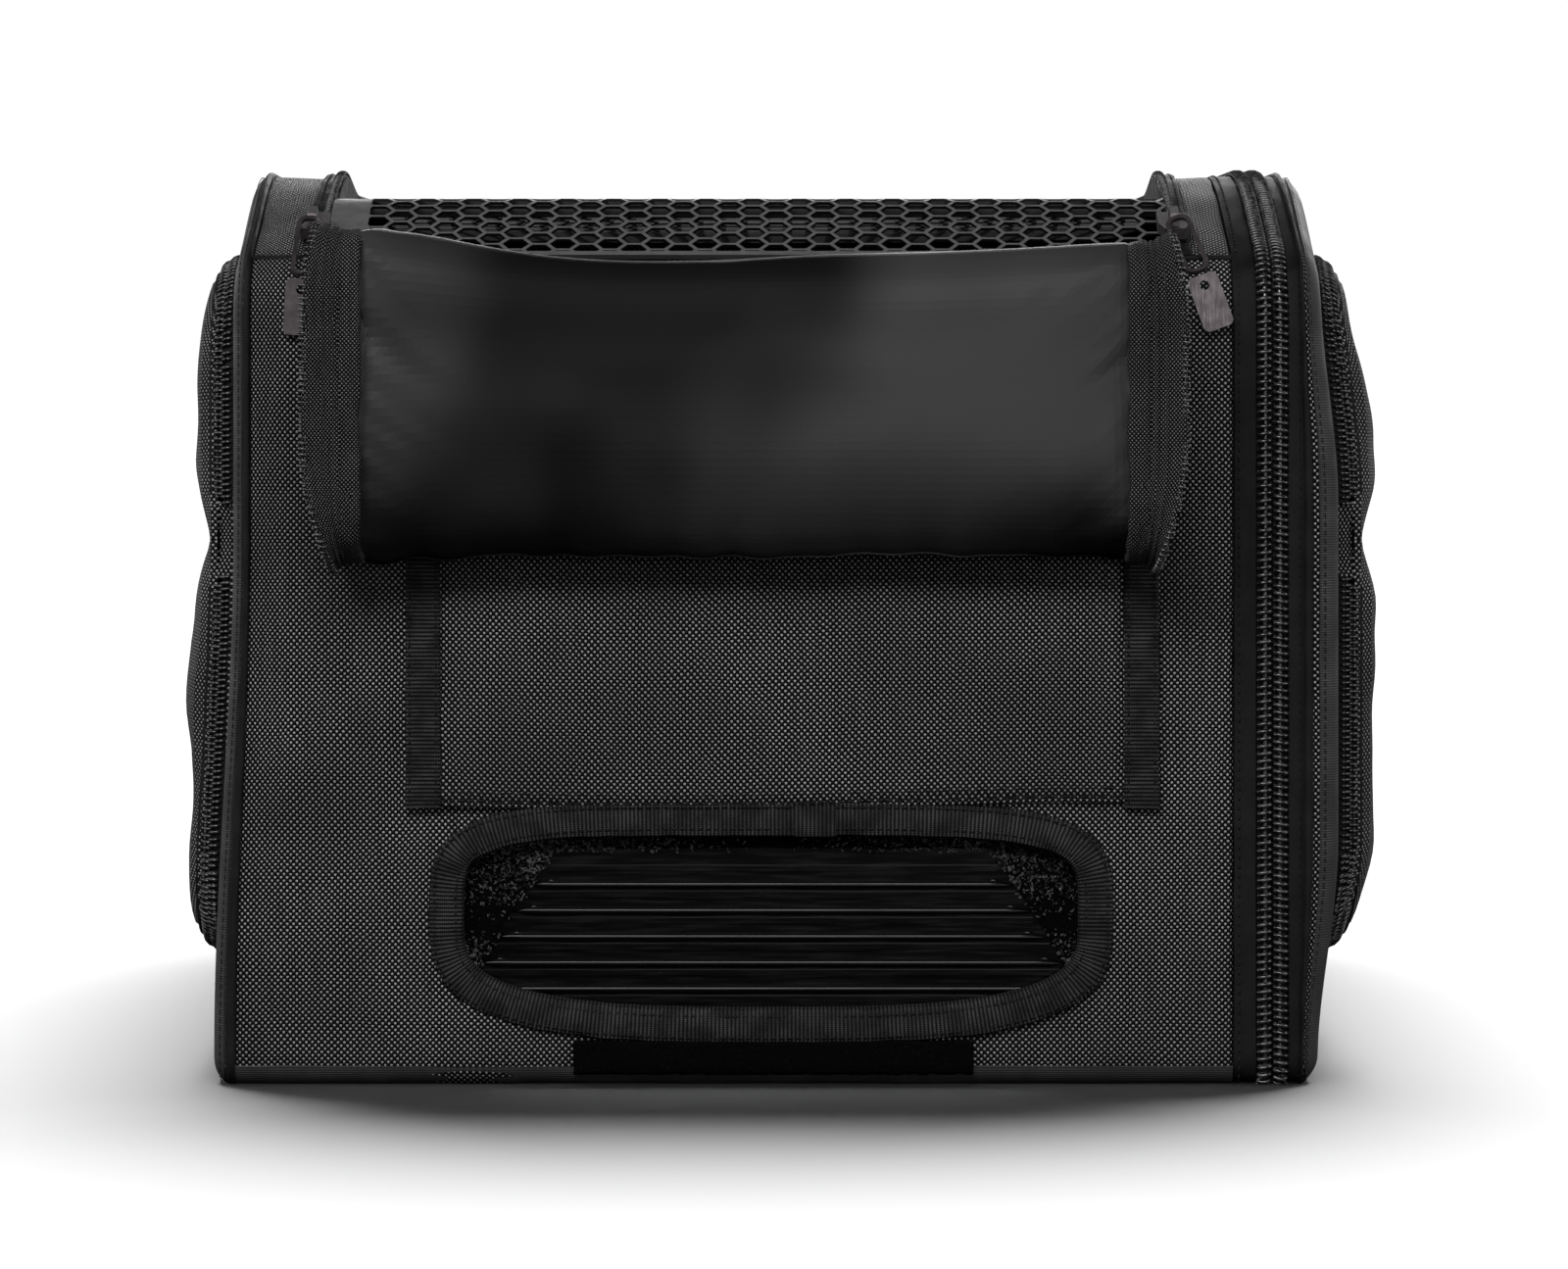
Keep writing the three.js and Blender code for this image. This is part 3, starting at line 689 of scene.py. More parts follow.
def end_outline():
    """From the front foot up the front, over the roof and down the back, in y and z."""
    turned = math.pi - SHOULDER_TURN
    half = [(FRONT + FOOT_RADIUS, 0.0)]
    half += arc((FRONT + FOOT_RADIUS, FOOT_RADIUS), FOOT_RADIUS, -math.pi / 2, -math.pi, 9)
    half += [(FRONT, z) for z in np.linspace(FOOT_RADIUS, SHOULDER, 40)]
    half += arc((FRONT + SHOULDER_RADIUS, SHOULDER), SHOULDER_RADIUS, math.pi, turned, 12)
    y, z = half[-1]
    pull = (y + math.sin(SHOULDER_TURN) * SHOULDER_PULL, z + math.cos(SHOULDER_TURN) * SHOULDER_PULL)
    crown = FRONT + CROWN_DEPTH
    half += bezier((y, z), pull, (crown - CROWN_PULL, CROWN), (crown, CROWN), 24)
    mirror = [(FRONT + BACK - y, z) for y, z in reversed(half)]
    level = [(y, CROWN) for y in np.linspace(half[-1][0], mirror[0][0], 30)]
    return without_repeats(half + level + mirror)


OUTLINE = end_outline()


def inwards_of(line):
    """The direction into the bag at each point of an end outline."""
    ahead = line.heading(line.along)
    return np.stack([np.zeros(len(ahead)), ahead[:, 2], -ahead[:, 1]], axis=1)


def outline_line(x, inset=0.0):
    """The end outline at one x, moved inwards."""
    line = Line([(x, y, z) for y, z in OUTLINE])
    return Line(line.points + inwards_of(line) * inset)


# The outline's open part, and the whole way round with the foot.
HOOP = outline_line(0.0)
AROUND = Line(np.concatenate([HOOP.points, np.linspace(HOOP.points[-1], HOOP.points[0], 60)[1:]]))


def station(axis, value, rows):
    """How far along the outline the chosen points come nearest to a y or a z."""
    best = min(rows, key=lambda i: abs(HOOP.points[i][axis] - value))
    return HOOP.along[best]


HALF_WAY = len(HOOP.points) // 2
SEAM_FRONT = station(2, SEAM, range(HALF_WAY))
SEAM_BACK = station(2, SEAM, range(HALF_WAY, len(HOOP.points)))
ON_ROOF = [i for i, point in enumerate(HOOP.points) if point[2] > SHOULDER]
ROOF_REAR = station(1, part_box("roof_rear")[0].y, ON_ROOF)


PADDING = 5 * MM


def hoop_strip(name, x0, x1, out, sunk, start, end, step=4 * MM, divisions=1, radius=0.8 * MM):
    """A strip of the sewn tube: x0 to x1, standing out of the outline and sunk into it."""
    profile = flat_profile(x0, x1, -sunk, out, radius, divisions)
    return sweep(name, HOOP, X_AXIS, profile, HOOP.spaced(step, start, end))


def hoop_stitches(name, x, lift, start, end, body="bag"):
    return stitches(name, outline_line(x), X_AXIS, body, "smooth_tape", lift=lift, start=start, end=end)


# ---------------------------------------------------------------- front, back and floor


def wall(name, start, end, node, hole=None):
    """A padded wall of the tube, softly uneven, with an optional hole."""
    panel = hoop_strip(name, LEFT, RIGHT, 0.0, PADDING, start, end, divisions=64, radius=1.6 * MM)
    if hole:
        cutter = window_prism(hole)
        cut = panel.modifiers.new("hole", "BOOLEAN")
        cut.operation, cut.solver, cut.object = "DIFFERENCE", "EXACT", cutter
        apply_modifiers(panel)
        bpy.data.objects.remove(cutter)

    def mask(p):
        edge = min(p.x - LEFT, RIGHT - p.x)
        return min(1.0, max(0.0, edge / (18 * MM)))

    soften(panel, 1.5 * MM, 60 * MM, 1.0, mask)
    soften(panel, 0.5 * MM, 14 * MM, 5.0, mask)
    return settle(panel, "bag", "ballistic_fabric", node)


WINDOW_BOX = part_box("window_binding")
BINDING = 10 * MM
WINDOW_MIDDLE = (WINDOW_BOX[0] + WINDOW_BOX[1]) / 2
WINDOW_HALF = (WINDOW_BOX[1] - WINDOW_BOX[0]) / 2


def oval_point(angle, grow, top, bottom):
    """A point of the window's outline in x and z; top and bottom say how square it is."""
    c, s = math.cos(angle), math.sin(angle)
    power = 2 / (top if s > 0 else bottom)
    x = (WINDOW_HALF.x - BINDING + grow) * math.copysign(abs(c) ** power, c)
    z = (WINDOW_HALF.z - BINDING + grow) * math.copysign(abs(s) ** power, s)
    return WINDOW_MIDDLE.x + x, WINDOW_MIDDLE.z + z


TOP_SQUARENESS, BOTTOM_SQUARENESS = 4.6, 3.1


def oval(grow, y, start=0.5 * math.pi):
    """The window's outline, squarer at its top than at its bottom."""
    points = []
    for angle in np.linspace(start, start + 2 * math.pi, 721):
        x, z = oval_point(angle, grow, TOP_SQUARENESS, BOTTOM_SQUARENESS)
        points.append((x, y, z))
    return Line(without_repeats(points))


def window_prism(grow):
    line = oval(grow, 0.0)
    ring = line.at(np.linspace(0, line.length, 97)[:-1])
    low, high = ring.copy(), ring.copy()
    low[:, 1], high[:, 1] = FRONT - 10 * MM, FRONT + 12 * MM
    return tube("window_prism", np.concatenate([low, high]), len(ring))


def away_from_window(line, stations):
    return np.cross(line.heading(stations), (0.0, -1.0, 0.0))


def window_binding():
    """Folded grosgrain round the window, its ends lapped at the top."""
    line = oval(BINDING / 2, FRONT - 0.3 * MM, start=0.4993 * math.pi)
    stations = line.spaced(1.5 * MM)
    half = BINDING / 2 + 0.4 * MM
    fold = half * 0.62
    profile = np.array(
        [
            (-half, 0.6), (-half * 0.9, 1.6), (-half * 0.4, 2.1), (half * 0.4, 2.1), (half * 0.9, 1.5),
            (half, 0.4), (half, 0.0), (-fold, 0.0), (-fold, -5.0), (-half, -5.0),
        ]
    )
    profile[:, 1] *= MM
    binding = sweep("window_trim", line, away_from_window(line, stations), profile, stations)
    end = line.spaced(1.5 * MM, line.length - 13 * MM)
    lapped = flat_profile(-half, half, 1.7 * MM, 2.9 * MM, 0.5 * MM, 4)
    lap = sweep("window_trim_lap", line, away_from_window(line, end), lapped, end)
    settle(lap, "bag", "grosgrain")
    soften(binding, 0.5 * MM, 7 * MM, 3.0, lambda p: 1.0 if p.y < FRONT else 0.0)
    settle(binding, "bag", "grosgrain", "window_binding", crease=40)
    for name, grow in (("window_stitch_outer", BINDING * 0.86), ("window_stitch_inner", BINDING * 0.2)):
        stitches(name, oval(grow, FRONT - 2.2 * MM), away_from_window, "bag", "grosgrain", STITCH)


def plate_edge(angle, plate_box, shoulder, inset):
    """Where a ray from the window's middle leaves the plate, in x and z."""
    low, high = plate_box
    corners = ((high.x, shoulder), (high.x - inset, high.z), (low.x + inset, high.z), (low.x, shoulder))
    ray = (math.cos(angle), math.sin(angle))
    reached = []
    for (x0, z0), (x1, z1) in zip(corners, corners[1:]):
        ax, az = x0 - WINDOW_MIDDLE.x, z0 - WINDOW_MIDDLE.z
        dx, dz = x1 - x0, z1 - z0
        across = ray[0] * dz - ray[1] * dx
        if abs(across) < 1e-12:
            continue
        t = (ax * dz - az * dx) / across
        k = (ax * ray[1] - az * ray[0]) / across
        if t > 0 and -1e-6 <= k <= 1 + 1e-6:
            reached.append(t)
    if not reached:
        return None
    return np.array((WINDOW_MIDDLE.x + ray[0] * min(reached), WINDOW_MIDDLE.z + ray[1] * min(reached)))


def loop_band():
    """Fuzzy band behind the window's upper rim, out to the plate's slanted ends."""
    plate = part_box("ribbed_plate")
    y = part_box("window_loop_band")[0].y
    centre = np.array((WINDOW_MIDDLE.x, WINDOW_MIDDLE.z))
    rows, columns = 14, 260
    points = []
    for a in np.linspace(-0.06 * math.pi, 1.06 * math.pi, columns):
        outer = np.array(oval_point(a, 4 * MM, TOP_SQUARENESS, TOP_SQUARENESS))
        angle = math.atan2(outer[1] - WINDOW_MIDDLE.z, outer[0] - WINDOW_MIDDLE.x)
        inner = plate_edge(angle, plate, 32 * MM, 27 * MM)
        inner = outer if inner is None else inner
        reach = np.linalg.norm(outer - centre)
        if np.linalg.norm(inner - centre) > reach - 5 * MM:
            inner = centre + (outer - centre) * (1 - 5 * MM / reach)
        inner = inner + (centre - inner) * 0.02
        for k in range(rows):
            x, z = outer + (inner - outer) * k / (rows - 1)
            tuft = noise.noise(Vector((x, z, 0.0)) * 900) + noise.noise(Vector((x, z, 5.0)) * 350)
            points.append((x, y - 0.55 * MM * tuft - 0.2 * MM, z))
    faces = [(a, d, c, b) for a, b, c, d in grid_faces(columns, rows)]
    band = solid_object("window_pile", points, faces)
    thicken(band, 1.2 * MM, 0.0)
    settle(band, "bag", "loop_pile", "window_loop_band", crease=0)
    fibres("window_fibres", np.array(points), 0.42 * MM, 11)


def fibres(name, spots, size, seed):
    """Tiny loops of yarn that stand off a pile, each turned its own way."""
    rng = np.random.RandomState(seed)
    spots = spots + rng.uniform(-1, 1, spots.shape) * (1.4 * MM, 0.25 * MM, 1.4 * MM) - (0, 0.6 * MM, 0)
    first = rng.normal(size=spots.shape)
    first /= np.linalg.norm(first, axis=1, keepdims=True)
    second = np.cross(first, rng.normal(size=spots.shape))
    second /= np.linalg.norm(second, axis=1, keepdims=True)
    unit = loop_unit(size, size * 0.7, 0.13 * MM, 0.2 * MM, 6, 3)
    made = scatter(name, unit, spots, first, second, np.cross(first, second))
    return settle(made, "bag", "loop_pile", look=FIBRE, crease=0)


RIB_PITCH = 8.1 * MM


def rib_inset(plate_box, z):
    """How far the plate's slanted ends lie inside its box at one height."""
    return 26 * MM * max(0.0, (z - 34 * MM) / (plate_box[1].z - 34 * MM))


def ribbed_plate():
    """Keeps the moulded plate and softens its edges; small nubs sit at the ribs' ends."""
    round_edges(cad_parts["ribbed_plate"], "gloss_plate", 0.45 * MM, 40)
    low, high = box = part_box("ribbed_plate")
    places = []
    for k in range(5):
        z = high.z - 7 * MM - (k + 0.5) * RIB_PITCH
        inset = rib_inset(box, z) + 9 * MM
        places += [(low.x + inset, low.y + 1.5 * MM, z), (high.x - inset, low.y + 1.5 * MM, z)]
    rings, turns = 4, 12
    points = [(0.0, -1.0, 0.0)]
    for r in range(1, rings + 1):
        a = r / rings * math.pi / 2
        for b in [2 * math.pi * k / turns for k in range(turns)]:
            points.append((2.2 * math.sin(a) * math.cos(b), -math.cos(a), math.sin(a) * math.sin(b)))
    points.append((0.0, 0.5, 0.0))
    axes = [np.array([axis] * len(places)) * (0.75 * MM) for axis in (X_AXIS, Y_AXIS, Z_AXIS)]
    nubs = scatter("plate_nubs", (points, bead_faces(rings, turns)), np.array(places), *axes)
    settle(nubs, "bag", "gloss_plate", crease=0)
    ribs = []
    bead = [(1.2 * MM * math.cos(a), 1.1 * MM * math.sin(a)) for a in np.linspace(0, math.pi, 9)]
    for k in range(6):
        z = high.z - 12.2 * MM - k * RIB_PITCH
        inset = rib_inset(box, z) + (15.5 * MM if k == 5 else 3.5 * MM)
        line = Line([(x, low.y + 0.3 * MM, z) for x in np.linspace(high.x - inset, low.x + inset, 40)])
        swell = np.minimum(1.0, 0.25 + np.minimum(line.along, line.length - line.along) / (4 * MM))
        widths = np.stack([swell, swell], axis=1)
        ribs.append(sweep(f"plate_rib_{k}", line, Z_AXIS, bead, line.along, widths))
    settle(joined("plate_ribs", ribs), "bag", "gloss_plate")


def pile_strip():
    """Hook-and-loop strip along the foot of the front."""
    low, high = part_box("loop_strip")
    top = station(2, high.z, range(HALF_WAY))
    strip = hoop_strip(
        "hook_strip", low.x, high.x, 2.2 * MM, -0.5 * MM, start=9 * MM, end=top,
        step=0.9 * MM, divisions=110, radius=0.7 * MM,
    )
    soften(strip, 0.5 * MM, 1.4 * MM, 2.0)
    settle(strip, "bag", "loop_pile", "loop_strip", crease=0)


def front_hem():
    """Smooth facing along the foot of the front, lapped onto the weave."""
    hem = hoop_strip(
        "front_hem", LEFT, RIGHT, 0.7 * MM, 0.5 * MM, start=1 * MM, end=10.5 * MM,
        step=1.2 * MM, divisions=40, radius=0.4 * MM,
    )
    soften(hem, 0.5 * MM, 25 * MM, 8.0)
    settle(hem, "bag", "smooth_tape", look=FACING)


def sleeve():
    """The flat sleeve over the front with its hem and its two grosgrain edges."""
    low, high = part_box("sleeve_panel")
    face, foot = high.y - 1.2 * MM, low.z - 1.5 * MM

    def sag(u):
        return 1.2 * MM * math.sin(u * math.pi * 1.5)

    columns, rows = 72, 50
    points, cloth = [], []
    for j in range(rows + 1):
        for i in range(columns + 1):
            u, v = i / columns, j / rows
            x, z = low.x + (high.x - low.x) * u, foot + (high.z - low.z) * v
            puff = 2.6 * MM * (4 * u * (1 - u)) ** 0.5 * min(1.0, v * 7) ** 0.7
            puff += 0.9 * MM * noise.noise(Vector((x * 28, z * 34, 3.0)))
            points.append((x, face - puff, z - sag(u) * (1 - v)))
            cloth.append((x, z, 0.0))
    panel = solid_object("sleeve_cloth", points, grid_faces(rows + 1, columns + 1), cloth)
    thicken(panel, 1.0 * MM, -1.0)
    settle(panel, "bag", "ballistic_fabric", "sleeve_panel")
    for k, height in enumerate((2.0 * MM, 4.6 * MM)):
        row = [
            (x, face - 2.6 * MM, foot + height - sag((x - low.x) / (high.x - low.x)))
            for x in np.linspace(high.x, low.x, 60)
        ]
        stitches(f"sleeve_hem_stitch_{k}", Line(row), Z_AXIS, "bag", "ballistic_fabric")
    for side, _, way in SIDES:
        node = f"sleeve_binding_{side}"
        lo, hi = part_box(node)
        lap = 1.2 * MM
        x0, x1 = (lo.x, hi.x + lap) if way < 0 else (lo.x - lap, hi.x)
        up = Line([(0.0, hi.y, z) for z in np.linspace(lo.z - 2 * MM, hi.z, 60)])
        profile = flat_profile(x0, x1, 0.1 * MM, 2.5 * MM, 0.9 * MM, divisions=8)
        ribbon = sweep(f"sleeve_ribbon_{side}", up, X_AXIS, profile, up.spaced(2 * MM))
        soften(ribbon, 0.35 * MM, 12 * MM, 4.0)
        settle(ribbon, "bag", "grosgrain", node)
        for k, x in enumerate((x0 + 1.4 * MM, x1 - 1.4 * MM)):
            row = Line([(x, hi.y - 2.5 * MM, z) for z in (lo.z - 1 * MM, hi.z)])
            stitches(f"sleeve_{side}_stitch_{k}", row, X_AXIS, "bag", "grosgrain")


def floor_layer(name, node, radius, divisions, step):
    """A flat panel with rounded edges that fills one CAD box."""
    low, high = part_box(node)
    along = Line([(0.0, y, (low.z + high.z) / 2) for y in (low.y, high.y)])
    half = (high.z - low.z) / 2
    profile = flat_profile(low.x, high.x, -half, half, radius, divisions)
    return sweep(name, along, X_AXIS, profile, along.spaced(step))


def floor_parts():
    """The floor's outer panel, its board and its quilted mat."""
    under = floor_layer("floor_shell", "floor_panel", 1 * MM, 30, 12 * MM)
    settle(under, "bag", "ballistic_fabric", "floor_panel")
    board = floor_layer("stiff_board", "floor_board", 1.5 * MM, 1, 40 * MM)
    settle(board, "bag", "stiffener", "floor_board")
    mat = floor_layer("soft_mat", "floor_mat", 4 * MM, 60, 6 * MM)
    low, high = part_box("floor_mat")
    quilt = 55 * MM
    for vertex in mat.data.vertices:
        x, y, z = vertex.co
        if z > (low.z + high.z) / 2:
            pad = abs(math.sin(x * math.pi / quilt) * math.sin(y * math.pi / quilt))
            vertex.co.z -= 3.2 * MM * (1 - pad**0.45)
    settle(mat, "bag", "mat_fabric", "floor_mat")


# ---------------------------------------------------------------- roof


def roof_path():
    """The mesh's line from the front seam to the ridge and on to the rear, in y and z."""
    low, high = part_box("roof_mesh")
    ridge = sum(corner.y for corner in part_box("ridge_stay")) / 2
    start, pull = (low.y, low.z + 1 * MM), (low.y + 18 * MM, low.z + 9 * MM)
    front = bezier(start, pull, (ridge - 9 * MM, high.z - 2 * MM), (ridge, high.z), 14)
    level = [(y, high.z) for y in np.linspace(ridge, high.y, 30)[1:]]
    return Line([(0.0, y, z) for y, z in front + level])


HEXAGON = [(math.cos(k * math.pi / 3), math.sin(k * math.pi / 3)) for k in range(6)]
CELL_RADIUS, HOLE_SHARE = 4.93 * MM, 0.845
MESH_DIP = 1.5 * MM


def hexagon_net(x0, x1, length):
    """A flat net of hexagon holes over the given span."""
    column, row = 1.5 * CELL_RADIUS, math.sqrt(3) * CELL_RADIUS
    bm = bmesh.new()
    for i in range(-1, int((x1 - x0) / column) + 3):
        for j in range(-1, int(length / row) + 3):
            cx, cv = x0 + i * column, (j + 0.5 * (i % 2)) * row
            outer, inner = (
                [bm.verts.new((cx + radius * c, cv + radius * s, 0)) for c, s in HEXAGON]
                for radius in (CELL_RADIUS, CELL_RADIUS * HOLE_SHARE)
            )
            for k in range(6):
                n = (k + 1) % 6
                bm.faces.new((outer[k], outer[n], inner[n], inner[k]))
    bmesh.ops.remove_doubles(bm, verts=bm.verts, dist=0.05 * MM)
    return bm


def roof_mesh():
    """A sheet with real hexagon holes; a plain border runs along its left and its ends."""
    low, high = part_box("roof_mesh")
    path = roof_path()
    left, front, rear = low.x + 12 * MM, 3 * MM, path.length - 8 * MM
    bm = hexagon_net(low.x, high.x, path.length)
    cuts = ((left, 0, -1, 0), (high.x, 0, 1, 0), (0, front, 0, -1), (0, rear, 0, 1))
    for x, v, way_x, way_v in cuts:
        everything = list(bm.verts) + list(bm.edges) + list(bm.faces)
        place, way = (x, v, 0), (way_x, way_v, 0)
        bmesh.ops.bisect_plane(bm, geom=everything, plane_co=place, plane_no=way, clear_outer=True)
    for x0, x1, v0, v1 in (
        (low.x, left, 0.0, path.length),
        (left, high.x, 0.0, front),
        (left, high.x, rear, path.length),
    ):
        columns, rows = (max(2, int(span / (6 * MM))) + 1 for span in (x1 - x0, v1 - v0))
        grid = [
            bm.verts.new((x, v, 0)) for v in np.linspace(v0, v1, rows) for x in np.linspace(x0, x1, columns)
        ]
        for corners in grid_faces(rows, columns):
            bm.faces.new([grid[k] for k in corners])
    mesh = bpy.data.meshes.new("roof_net")
    bm.to_mesh(mesh)
    bm.free()
    flat = np.zeros(len(mesh.vertices) * 3)
    mesh.vertices.foreach_get("co", flat)
    flat = flat.reshape(-1, 3)
    places = path.at(np.clip(flat[:, 1], 0, path.length))
    places[:, 0] = flat[:, 0]
    sag = np.sin(np.clip((flat[:, 0] - low.x) / (high.x - low.x), 0, 1) * math.pi)
    behind = np.clip((places[:, 1] - path.at(np.array([48 * MM]))[0, 1]) / (60 * MM), 0, 1)
    places[:, 2] -= MESH_DIP * sag * behind + 0.6 * MM
    mesh.vertices.foreach_set("co", slack(places).ravel())
    net = bpy.data.objects.new("roof_net", mesh)
    bpy.context.scene.collection.objects.link(net)
    thicken(net, 0.9 * MM, 0.0)
    settle(net, "bag", "roof_mesh", "roof_mesh", crease=40)
    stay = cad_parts["ridge_stay"]
    refinish(stay, "stiffener")
    stay.data.shade_smooth()


def dip(x, low, high):
    """How far the mesh hangs down between its left and its right edge."""
    return MESH_DIP * np.sin((x - low.x) / (high.x - low.x) * math.pi)


def roof_flange():
    """The turned-down edge that joins the mesh to its tapes and to the rear of the roof."""
    low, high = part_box("roof_mesh")
    net = roof_path().points
    over = HOOP.points[HOOP.points[:, 2] > SEAM]
    ys = np.linspace(low.y + 1 * MM, high.y - 0.3 * MM, 70)
    foot = np.interp(ys, net[:, 1], net[:, 2]) - 1.0 * MM
    head = np.maximum(np.interp(ys, over[:, 1], over[:, 2]) + 0.2 * MM, foot + 0.6 * MM)
    xs = np.linspace(low.x, high.x, 50)[1:-1]
    rows = [(low.x, y, a, b, 1, 0) for y, a, b in zip(ys, foot, head)]
    rows += [(x, ys[-1], foot[-1] - dip(x, low, high), head[-1] - 1.5 * MM, 0, -1) for x in xs]
    rows += [(high.x, y, a, b, -1, 0) for y, a, b in zip(ys[::-1], foot[::-1], head[::-1])]
    points, cloth = [], []
    for i, (x, y, a, b, way_x, way_y) in enumerate(rows):
        inner_x, inner_y = x + 0.7 * MM * way_x, y + 0.7 * MM * way_y
        points += [(x, y, a), (inner_x, inner_y, a), (inner_x, inner_y, b), (x, y, b)]
        cloth += [(i * 5 * MM, z, 0.0) for z in (a, a, b, b)]
    settle(tube("roof_flange", points, 4, cloth), "bag", "smooth_tape")


def roof_edges():
    """The roof's two fabric bands, the rear of the roof and the cover's zipper tapes."""
    for side, _, way in SIDES:
        band, node = f"roof_band_{side}", f"roof_tape_{side}"
        lo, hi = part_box(band)
        x0, x1 = (LEFT, hi.x) if way < 0 else (lo.x, RIGHT)
        strip = hoop_strip(
            f"roof_side_{side}", x0, x1, 0.0, 4 * MM, start=SEAM_FRONT + 0.5 * MM, end=ROOF_REAR,
            divisions=8, radius=1.4 * MM,
        )
        soften(strip, 0.8 * MM, 22 * MM, 6.0)
        settle(strip, "bag", "ballistic_fabric", band)
        lo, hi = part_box(node)
        outer_x, inner_x = (lo.x, hi.x) if way < 0 else (hi.x, lo.x)
        tape = hoop_strip(
            f"roof_zip_tape_{side}", lo.x - 0.6 * MM, hi.x + 0.2 * MM, 1.3 * MM, 0.4 * MM,
            start=SEAM_FRONT, end=ROOF_REAR, step=3 * MM, divisions=3, radius=0.5 * MM,
        )
        soften(tape, 0.4 * MM, 9 * MM, 2.0)
        settle(tape, "bag", "smooth_tape", node)
        at = np.arange(SEAM_FRONT + 4 * MM, ROOF_REAR - 2 * MM, ROOF_PITCH)
        inner = outline_line(inner_x)
        teeth(f"roof_teeth_{side}", inner, at, X_AXIS, 0.9 * MM * way, 1.7 * MM, ROOF_LOOP, "bag", -way)
        row_x = outer_x - 1.2 * MM * way
        hoop_stitches(f"roof_tape_stitch_{side}", row_x, 1.3 * MM, SEAM_FRONT + 2 * MM, ROOF_REAR)
    rear = hoop_strip(
        "roof_back_part", LEFT, RIGHT, 0.0, PADDING, start=ROOF_REAR + 0.3 * MM, end=SEAM_BACK,
        divisions=60, radius=1.6 * MM,
    )
    soften(rear, 1.4 * MM, 50 * MM, 3.0)
    settle(rear, "bag", "ballistic_fabric", "roof_rear")
    lo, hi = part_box("roof_mesh")
    xs = np.linspace(hi.x, lo.x, 40)
    hem = Line([(x, hi.y - 4 * MM, hi.z + 0.5 * MM - dip(x, lo, hi)) for x in xs])
    stitches("roof_rear_stitch", hem, Y_AXIS, "bag", "roof_mesh")
    seam = Line([(x, HOOP.at(np.array([SEAM_FRONT]))[0, 1], SEAM) for x in (LEFT, RIGHT)])
    cord = sweep("roof_front_seam", seam, Z_AXIS, round_profile(1.1 * MM), seam.spaced(6 * MM))
    settle(cord, "bag", "smooth_tape")


# ---------------------------------------------------------------- sides


def side_plate(name, profile, node, body):
    """A padded side: rings of the outline, from (inset, x) to (inset, x), closed by flats."""
    base = outline_line(0.0)
    inwards = inwards_of(base)
    points, cloth = [], []
    reach = 0.0
    for k, (inset, x) in enumerate(profile):
        reach += math.dist((inset, x), profile[k - 1]) if k else 0.0
        ring = base.points + inwards * inset
        ring[:, 0] = x
        ring[:, 2] = np.maximum(ring[:, 2], min(inset, 3 * MM))
        points.append(ring)
        flat = base.points + inwards * reach
        cloth.append(np.stack([flat[:, 1], flat[:, 2], np.zeros(len(flat))], axis=1))
    plate = tube(name, np.concatenate(points), len(base.points), np.concatenate(cloth))
    return settle(plate, body, "ballistic_fabric", node)


EDGE_DEPTH, EDGE_REACH, EDGE_STEPS = 0.85, 8.5 * MM, 7
FACING_LIFT, FACING_WIDTH = 0.75 * MM, 14 * MM


def rounded_edge(inner, outer, way):
    """Profile of a side panel: a quarter round from its inner face to its outer face."""
    depth = abs(outer - inner) * EDGE_DEPTH
    profile = [(1.2 * MM, inner), (0.2 * MM, inner + 0.5 * MM * way)]
    for a in np.linspace(0, math.pi / 2, EDGE_STEPS + 1):
        profile.append((EDGE_REACH * (1 - math.cos(a)), outer - way * depth * (1 - math.sin(a))))
    return profile + [(EDGE_REACH + 6 * MM, outer + 0.1 * MM * way)]


def facing_profile(inner, outer, way):
    """Profile of the facing that follows the panel's rounded edge."""
    depth = abs(outer - inner) * EDGE_DEPTH
    profile = []
    for k in range(EDGE_STEPS + 1):
        a = math.pi / 2 * (0.25 + 0.75 * k / EDGE_STEPS)
        x = outer - way * depth * (1 - math.sin(a)) + way * FACING_LIFT * math.sin(a)
        profile.append((x, -EDGE_REACH * (1 - math.cos(a)) + FACING_LIFT * math.cos(a)))
    return profile + [(outer + way * FACING_LIFT, -FACING_WIDTH)]


def sides():
    """Both side panels, the facing that borders the pockets and the piping at the corners."""
    for side, body, way in SIDES:
        node = f"{side}_side_panel"
        lo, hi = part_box(node)
        inner, outer = (hi.x, lo.x) if way < 0 else (lo.x, hi.x)
        side_plate(f"{side}_side_shell", rounded_edge(inner, outer, way), node, body)
        run = AROUND if body == "bag" else HOOP
        cord = round_profile(1.5 * MM, 12, inner + way * 0.9 * MM, 0.2 * MM)
        piping = sweep(f"{side}_edge_cord", run, X_AXIS, cord, run.spaced(3 * MM))
        settle(piping, body, "smooth_tape", f"{side}_piping")
        shown = facing_profile(inner, outer, way)
        hidden = [(x - way * 1.8 * MM, y - 1.6 * MM) for x, y in reversed(shown)]
        band = sweep(f"{side}_side_facing", AROUND, X_AXIS, shown + hidden, AROUND.spaced(4 * MM))
        settle(band, body, "smooth_tape", look=FACING)
        row_x, row_in = shown[0]
        row = outline_line(row_x + way * 1.1 * MM, -row_in + 0.1 * MM)
        stitches(
            f"{side}_facing_stitch", row, X_AXIS, body, "smooth_tape", STITCH,
            lift=-0.05 * MM, thread=FINE,
        )


